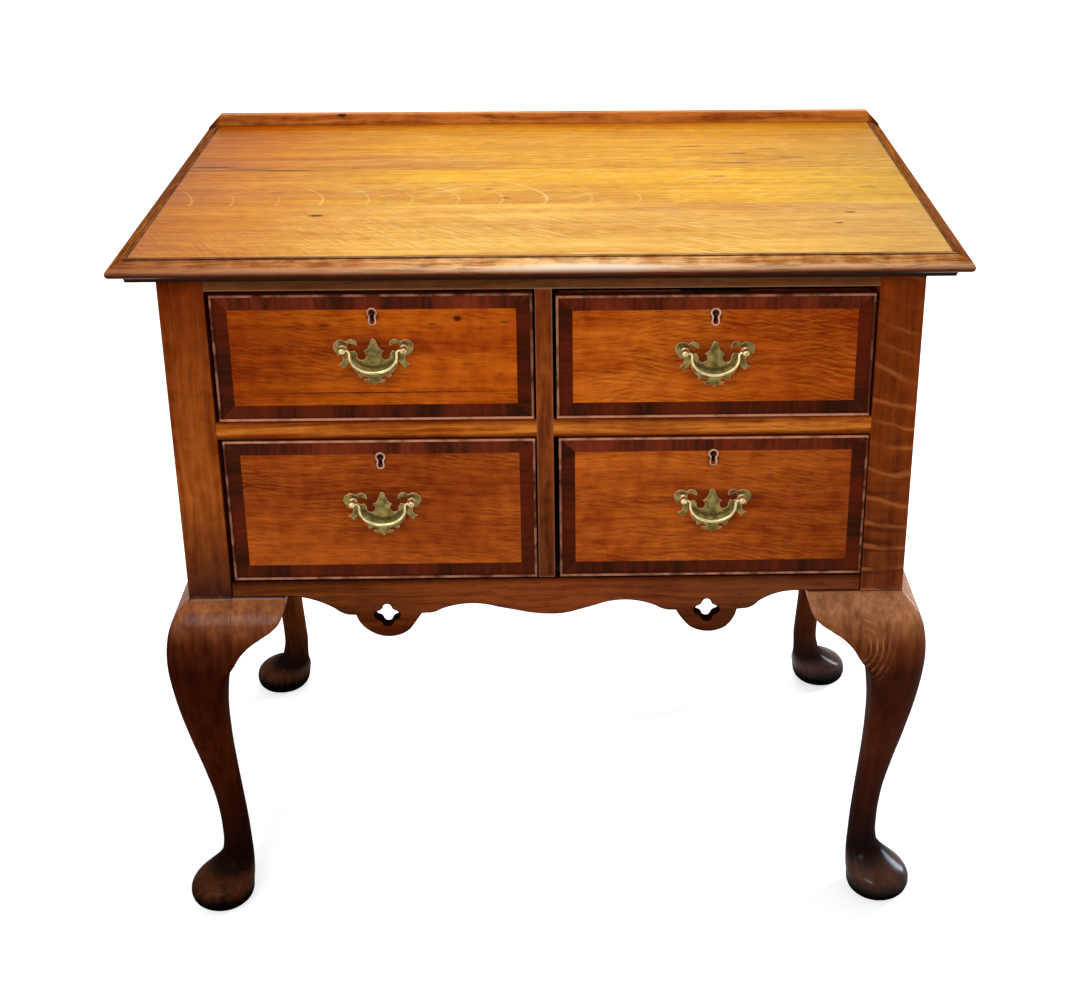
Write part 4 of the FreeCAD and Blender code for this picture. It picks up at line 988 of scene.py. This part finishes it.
pivots = {joint["child"]: joint["pos_m"] for joint in frame["joints"]
          if joint["type"] == "hinge"}
eye_drop = 18.6 * MM  # from the top of the cockbead to the keyhole's eye
for number, name in enumerate(drawer_names):
    dark, light, offset, streak, layers = field_oak[name]
    # wax and dirt lie round the brasses, with a painted shadow of the plate on the wood; inside
    # the keyhole's thread the wood is painted near black as the shade of the hollow
    across, _, up = (v / MM for v in pivots["drawer_%s_bail" % name])
    eye_up = (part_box("drawer_%s_cockbeading" % name)[1].z - eye_drop) / MM
    layers += [on_front((across, up - 3, 43, 15, 0.6), (across, up - 20, 28, 22, 0.6),
                        tint="5A1C06"),
               on_front((across, eye_up - 3, 6.0, 9.0, 0.9), tint="0A0503")]
    dress(nodes["drawer_%s_front" % name],
          waxed_oak("waxed_front_oak_" + name, "front", offset, dark, light, *layers,
                    streak=streak, cloud=0.6, pore=0.35, mottle=0.4, marks=(55.0, 3.0),
                    roughness=0.36, gloss=0.09))
    band = "drawer_%s_crossbanding" % name
    dress(nodes[band], crossband("mahogany_band_" + name, *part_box(band), (0.7 * number, 0, 0.3)))


def bead_grid(low, high):
    """A bead round a drawer: at each corner of the frame the same section, half round and
    10.3 mm deep, set in from the outer edge."""
    radius = 1.25 * MM
    nose = arc_points((radius, 0.0), radius, 180, 360, 14)
    inward = np.concatenate([nose[:, 0], [2 * radius, 0.0]])
    depth = low.y + np.concatenate([radius + nose[:, 1], [10.3 * MM] * 2])
    corners = [(low.x, low.z, 1, 1), (high.x, low.z, -1, 1), (high.x, high.z, -1, -1),
               (low.x, high.z, 1, -1)]
    return np.array([np.stack([x + sx * inward, depth, z + sz * inward], -1)
                     for x, z, sx, sz in corners])


def rubbed_lit_bead(name, low, high, left, right, bottom, top):
    """Thin oak bead, scraped round and rubbed by hands: dark wax in its root, the proud edge
    pale and pinkish, from wear and a painted highlight, by its own share on each of the four
    sides."""
    material, add, place = blank_material(name)
    x, y, z = (add("SeparateXYZ", place, out=i) for i in range(3))
    blotch = add("TexNoise", place, Scale=60.0, Detail=4.0)
    fine = add("TexNoise", place, Scale=260.0, Detail=3.0)
    proud = add("MapRange", y, case_front - 0.6 * MM, case_front - 1.9 * MM)
    middle = (low + high) / 2
    beyond = add("Math GREATER_THAN", x, middle.x)
    side = add("Math MULTIPLY_ADD", beyond, right - left, left)
    over = add("Math GREATER_THAN", z, middle.z)
    level = add("Math MULTIPLY_ADD", over, top - bottom, bottom)
    up = add("Math ABSOLUTE", add("Math SUBTRACT", z, middle.z))
    lying = add("Math GREATER_THAN", up, (high.z - low.z) / 2 - 2.6 * MM)
    share = add("Mix", lying, side, level)
    worn_and_lit = add("MapRange", blotch, 0.36, 0.58, -0.35, 0.25)
    worn_and_lit = add("Math ADD", worn_and_lit, share, use_clamp=True)
    worn_and_lit = add("Math MULTIPLY", proud, worn_and_lit)
    base = add("Mix RGBA", fine, "34120A", "5E2612")
    colour = add("Mix RGBA", worn_and_lit, base, "DC9472")
    rough = add("MapRange", blotch, 0.3, 0.7, 0.3, 0.44)
    return surfaced(material, add, 0.1, 0.3, add("Math ADD", blotch, fine), Base_Color=colour,
                    Roughness=rough, Specular_IOR_Level=0.2, Specular_Tint=AMBER)


bead_wear_and_sheen = {"upper_left": (0.20, 0.15, 1.0, 0.25), "upper_right": (0.45, -0.05, 1.0, 0.4),
             "lower_left": (0.20, 0.25, 0.45, 0.8), "lower_right": (0.3, 0.15, 0.5, 0.8)}
for name in drawer_names:
    node = "drawer_%s_cockbeading" % name
    bead = solid("cockbead_" + name, bead_grid(*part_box(node)), "drawer_" + name, [node],
                 ring=False, smooth=30)
    dress(bead, rubbed_lit_bead("rubbed_bead_oak_" + name, *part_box(node), *bead_wear_and_sheen[name]))

# Behind each front: dovetailed sides and back with a bottom let into grooves, all left dry,
# and an iron-bolted brass lock cut into the back of the front.

for number, name in enumerate(drawer_names):
    dress(nodes["drawer_%s_box" % name], dry_oak("dry_oak_box_" + name, "side",
                                                 (0.4 * number, 0, 0)))


# --------------------------------------------------- brasses
# Cast brass: a pierced batwing back plate filed to an edge, two ball-headed posts through the
# front and a bail hung between them.  Never lacquered: olive-gold in the hollows, rubbed on
# the edges, where a painted highlight lies too.

def aged_brass(name, dull, bright, edge, roughness=0.34):
    """Brass, cast, filed and left to tarnish: brown-green over gold, and wiped to a paler,
    pinkish metal where a file has turned the edge and hands touch it; that pale edge is also a
    painted highlight on the faces that turn from the front."""
    material, add, place = blank_material(name)
    cast = add("TexNoise", place, Scale=900.0, Detail=3.0)
    blotch = add("TexNoise", place, Scale=150.0, Detail=4.0)
    tone = add("MapRange", blotch, 0.35, 0.65)
    colour = add("Mix RGBA", tone, dull, bright)
    rim_highlight = add("MapRange", facing(add), 0.98, 0.75, 0.0, 0.9)
    colour = add("Mix RGBA", rim_highlight, colour, edge)
    rough = add("MapRange", blotch, 0.35, 0.65, roughness + 0.12, roughness - 0.06)
    return surfaced(material, add, 0.25, 0.15, cast, Base_Color=colour, Metallic=1.0,
                    Roughness=rough)


plate_brass = aged_brass("aged_plate_brass", "4A3E1E", "786A3A", "DCA480")
head_brass = aged_brass("rubbed_head_brass", "8A7440", "C8B078", "D8C090", 0.26)
bail_brass = aged_brass("rubbed_bail_brass", "8E7A44", "D8C48C", "E4D4A4", 0.24)
thread_brass = aged_brass("worn_thread_brass", "8A6A58", "B89484", "B89484", 0.5)
lock_brass = aged_brass("dirty_lock_brass", "241E14", "3A3222", "4A3E28", 0.5)

# right half of the back plate's edge from its crown down, in mm from a spot between the posts:
# a single point ends a straight run, and a pair is an arc through the first
plate_steps = [
    [(1.7, 8.5), (2.6, 6.2)], [(4.4, 1.6)], [(6.4, -1.4), (9.8, -3.4)], [(8.0, -5.4)],
    [(10.4, -12.2), (15.2, -6.6)], [(17.8, -2.6)], [(24.6, 0.2), (22.6, 4.3)],
    [(18.8, 3.2), (15.2, 1.4)], [(18.2, 8.4), (25.0, 6.2)], [(34.6, 7.0), (36.6, -2.6)],
    [(32.4, -8.8)], [(30.6, -7.2)], [(29.4, -13.0), (34.6, -15.6)], [(31.2, -18.6), (28.4, -21.0)],
    [(22.4, -13.4)], [(19.6, -22.0), (14.8, -26.6)], [(14.4, -30.2), (11.2, -29.2)],
    [(8.0, -29.0), (5.4, -31.8)], [(10.4, -31.8)], [(7.4, -35.4), (3.2, -34.8)], [(0.0, -38.4)],
]
plate_crown = (0.0, 9.4)
post_spacing, ball_stand, ball_radius = 57.0 * MM, 8.6 * MM, 3.8 * MM
plate_depth, plate_bevel = 1.5 * MM, 0.7 * MM
# the thread's wall is in mm; its back lies this far inside the wood
thread_wall, thread_back, thread_depth, thread_bevel = 1.5, 1.7 * MM, 2.0 * MM, 0.25 * MM


def keyhole_edge(margin):
    """A keyhole: a round eye over a slot whose sides flare to a round foot, grown all round by
    a margin in mm."""
    radius, half, foot = 3.4 + margin, 1.8 + margin, 2.5 + margin
    neck = math.degrees(math.acos(half / radius))
    eye = arc_points((0, 0), radius, -neck, 180 + neck, 26)
    toe = arc_points((0, -8.8), foot, 165, 375, 12)
    return np.concatenate([eye, toe]) * MM


def post_head(centre):
    """The collar, waist and ball of a post, turned along -Y from the plate's face: circles
    whose radii change with the distance out."""
    collar = np.array([(0.0, 3.4), (0.45, 3.5), (0.9, 3.2), (1.5, 2.1), (2.4, 1.75),
                       (3.2, 1.95)]) * MM
    polar = np.linspace(math.radians(145), 0.02, 26)
    ball = np.stack([ball_stand - plate_depth + ball_radius * np.cos(polar),
                     ball_radius * np.sin(polar)], -1)
    out, radius = np.concatenate([collar, ball]).T[..., None]
    turn = np.linspace(0, 2 * math.pi, 32, endpoint=False)
    return np.stack([centre[0] + radius * np.cos(turn),
                     np.broadcast_to(centre[1] - out, (len(out), len(turn))),
                     centre[2] + radius * np.sin(turn)], -1)


def bail_grid(centre):
    """A bail: circles carried along its line, which runs out of one post, round a small bend,
    down, across the bottom in half an ellipse, and back up.  It swells towards the middle."""
    half_width, drop, shoulder = 22.0, 22.3, 3.0
    bend = half_width + shoulder
    pin = np.array([(28.2, 0.0), (27.0, 0.0), (bend, 0.0)])
    turn = np.linspace(0, math.pi / 2, 9)[1:]
    corner = np.stack([bend - shoulder * np.sin(turn), -shoulder * (1 - np.cos(turn))], -1)
    sweep = np.linspace(0, math.pi / 2, 30)
    bow = np.stack([half_width * np.cos(sweep), -2 * shoulder - (drop - 2 * shoulder)
                    * np.sin(sweep)], -1)
    right = np.concatenate([pin, corner, bow])
    line = np.concatenate([right, right[-2::-1] * (-1, 1)])
    across = np.abs(line[:, 0]) / half_width
    rod = 1.2 + 0.75 * np.clip(1 - across**2, 0, 1)
    heading = np.gradient(line, axis=0)
    heading /= np.linalg.norm(heading, axis=1)[:, None]
    turn = np.linspace(0, 2 * math.pi, 20, endpoint=False)
    out_x = -heading[:, 1:2] * np.cos(turn) * rod[:, None]
    out_z = heading[:, 0:1] * np.cos(turn) * rod[:, None]
    out_y = np.broadcast_to(np.sin(turn), out_x.shape) * rod[:, None]
    return np.stack([centre[0] + (line[:, :1] + out_x) * MM, centre[1] + out_y * MM,
                     centre[2] + (line[:, 1:] + out_z) * MM], -1)


right = cut_line(plate_crown, plate_steps, 9)
edge = np.concatenate([right, right[-2:0:-1] * (-1, 1)]) * MM
for name in drawer_names:
    body, node = "drawer_" + name, "drawer_%s_plates" % name
    pivot = pivots[body + "_bail"]
    plate = cut_plate("back_plate_" + name, edge, (pivot[0], pivot[2]), case_front, plate_depth,
                      plate_bevel, body, [node])
    # a thin cast thread lines the keyhole, a hair proud of the wood
    eye = (pivot[0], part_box(body + "_cockbeading")[1].z - eye_drop)
    thread = cut_plate("keyhole_thread_" + name, keyhole_edge(thread_wall), eye,
                       case_front + thread_back, thread_depth, thread_bevel, body, [node],
                       holes=[keyhole_edge(0.0)])
    heads = [solid("post_head_%s_%d" % (name, side),
                   post_head((pivot[0] + side * post_spacing / 2, case_front - plate_depth,
                              pivot[2])), body) for side in (-1, 1)]
    bail = solid("bail_" + name, bail_grid(pivot), body + "_bail", [body + "_bail"], smooth=60)
    for piece, brass in ((plate, plate_brass), (heads[0], head_brass), (heads[1], head_brass),
                         (thread, thread_brass), (bail, bail_brass)):
        dress(piece, brass)
    dress(nodes[body + "_posts"], plate_brass)
    dress(nodes[body + "_lock"], lock_brass)


def forged_iron():
    """Wrought iron, forged and filed, for the lock bolts: dark, dull and slightly rusted."""
    material, add, place = blank_material("forged_bolt_iron")
    grain = add("TexNoise", place, Scale=400.0, Detail=4.0)
    colour = add("Mix RGBA", grain, "2E2A28", "6A5A50")
    rough = add("MapRange", grain, To_Min=0.4, To_Max=0.65)
    return surfaced(material, add, 0.2, 0.2, grain, Base_Color=colour, Metallic=1.0,
                    Roughness=rough)


bolt_iron = forged_iron()
for name in drawer_names:
    dress(nodes["drawer_%s_lock_bolt" % name], bolt_iron)


# ----------------------------------- floor, light and camera
# A plain pale floor, a small soft box overhead and slightly behind, and a wide one in front, as
# in a studio.  Floor and world are white to the camera and to reflections.

def seen_directly(add):
    """1 for rays from the camera, from a reflection or through glass, and 0 for light that
    bounces off dull surfaces."""
    rays = [add("LightPath", out="Is %s Ray" % kind)
            for kind in ("Camera", "Glossy", "Transmission")]
    return functools.reduce(functools.partial(add, "Math MAXIMUM"), rays)


def paper_floor():
    """Seamless studio paper: matt and white, with a faint fibre.  It glows a little where it is
    looked at, more with the distance, so that it stays white and keeps only the shadow."""
    material, add, place = blank_material("white_paper_floor")
    fibre = add("TexNoise", place, Scale=300.0, Detail=2.0)
    paper = add("Mix RGBA", fibre, "F4F4F3", "F8F8F8")
    seen = seen_directly(add)
    colour = add("Mix RGBA", seen, "B4B2B0", paper)
    away = add("VectorMath LENGTH", place)
    glow = add("MapRange", away, 0.5, 2.4, 0.6, 1.0)
    glow = add("Math MULTIPLY", glow, seen)
    surface = add("BsdfPrincipled", Base_Color=colour, Roughness=0.95, Specular_IOR_Level=0.0,
                  Emission_Color="FFFFFF", Emission_Strength=glow)
    add("OutputMaterial", surface)
    return material


floor_mesh = bpy.data.meshes.new("floor")
floor_half, floor_level = 14.0, -0.5 * MM
floor_mesh.from_pydata([(x * floor_half, y * floor_half, floor_level)
                        for x, y in ((-1, -1), (1, -1), (1, 1), (-1, 1))], [], [(0, 1, 2, 3)])
floor = bpy.data.objects.new("floor", floor_mesh)
bpy.context.scene.collection.objects.link(floor)
floor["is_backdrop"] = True
dress(floor, paper_floor())

world = bpy.data.worlds.new("studio")
bpy.context.scene.world = world
world.use_nodes = True
world.node_tree.nodes.clear()
add = functools.partial(add_node, world.node_tree)
strength = add("MapRange", seen_directly(add), To_Min=0.38, To_Max=1.0)
add("OutputWorld", add("Background", (1, 1, 1, 1), strength))


def soft_box(name, place, aim, width, depth, power, tint=(1.0, 1.0, 1.0)):
    """A rectangular lamp aimed at a spot."""
    data = bpy.data.lights.new(name, "AREA")
    data.shape = "RECTANGLE"
    data.size, data.size_y, data.energy, data.color = width, depth, power, tint
    lamp = bpy.data.objects.new(name, data)
    bpy.context.scene.collection.objects.link(lamp)
    lamp.location = place
    direction = (lamp.location - type(lamp.location)(aim)).normalized()
    lamp.rotation_euler = direction.to_track_quat("Z", "Y").to_euler()
    return lamp


soft_box("soft_box_overhead", (0.0, 0.35, 2.4), (0.0, 0.0, 0.7), 0.7, 0.8, 20.0)
soft_box("soft_box_front", (-0.8, -2.6, 2.0), (0.0, 0.0, 0.45), 1.2, 0.8, 26.5)
soft_box("strip_box_left", (-1.6, -1.2, 0.9), (-0.3, 0.0, 0.3), 0.3, 1.2, 4.0, (0.7, 0.83, 1.0))
soft_box("strip_box_right", (1.8, 0.75, 0.75), (0.35, -0.1, 0.2), 0.3, 0.9, 28.0,
         (0.68, 0.84, 1.0))

camera_data = bpy.data.cameras.new("camera")
camera = bpy.data.objects.new("camera", camera_data)
bpy.context.scene.collection.objects.link(camera)
bpy.context.scene.camera = camera
image_width, image_height = 1080, 997
focal_length, centre_x, centre_y = 1721.9, 600.0, 390.0  # pixels
camera_data.sensor_fit = "HORIZONTAL"
camera_data.sensor_width = 36.0
camera_data.lens = focal_length / image_width * camera_data.sensor_width
camera_data.shift_x = 0.5 - centre_x / image_width
camera_data.shift_y = (centre_y - image_height / 2) / image_width
camera_down, camera_right = 0.4035, 0.0243  # how far it is turned, in radians
camera.location = (0.01604, nose_front - 1.45854, 1.24132)
camera.rotation_euler = (right_angle - camera_down, 0.0, -camera_right)

bpy.context.scene.view_settings.view_transform = "Standard"

low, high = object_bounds()
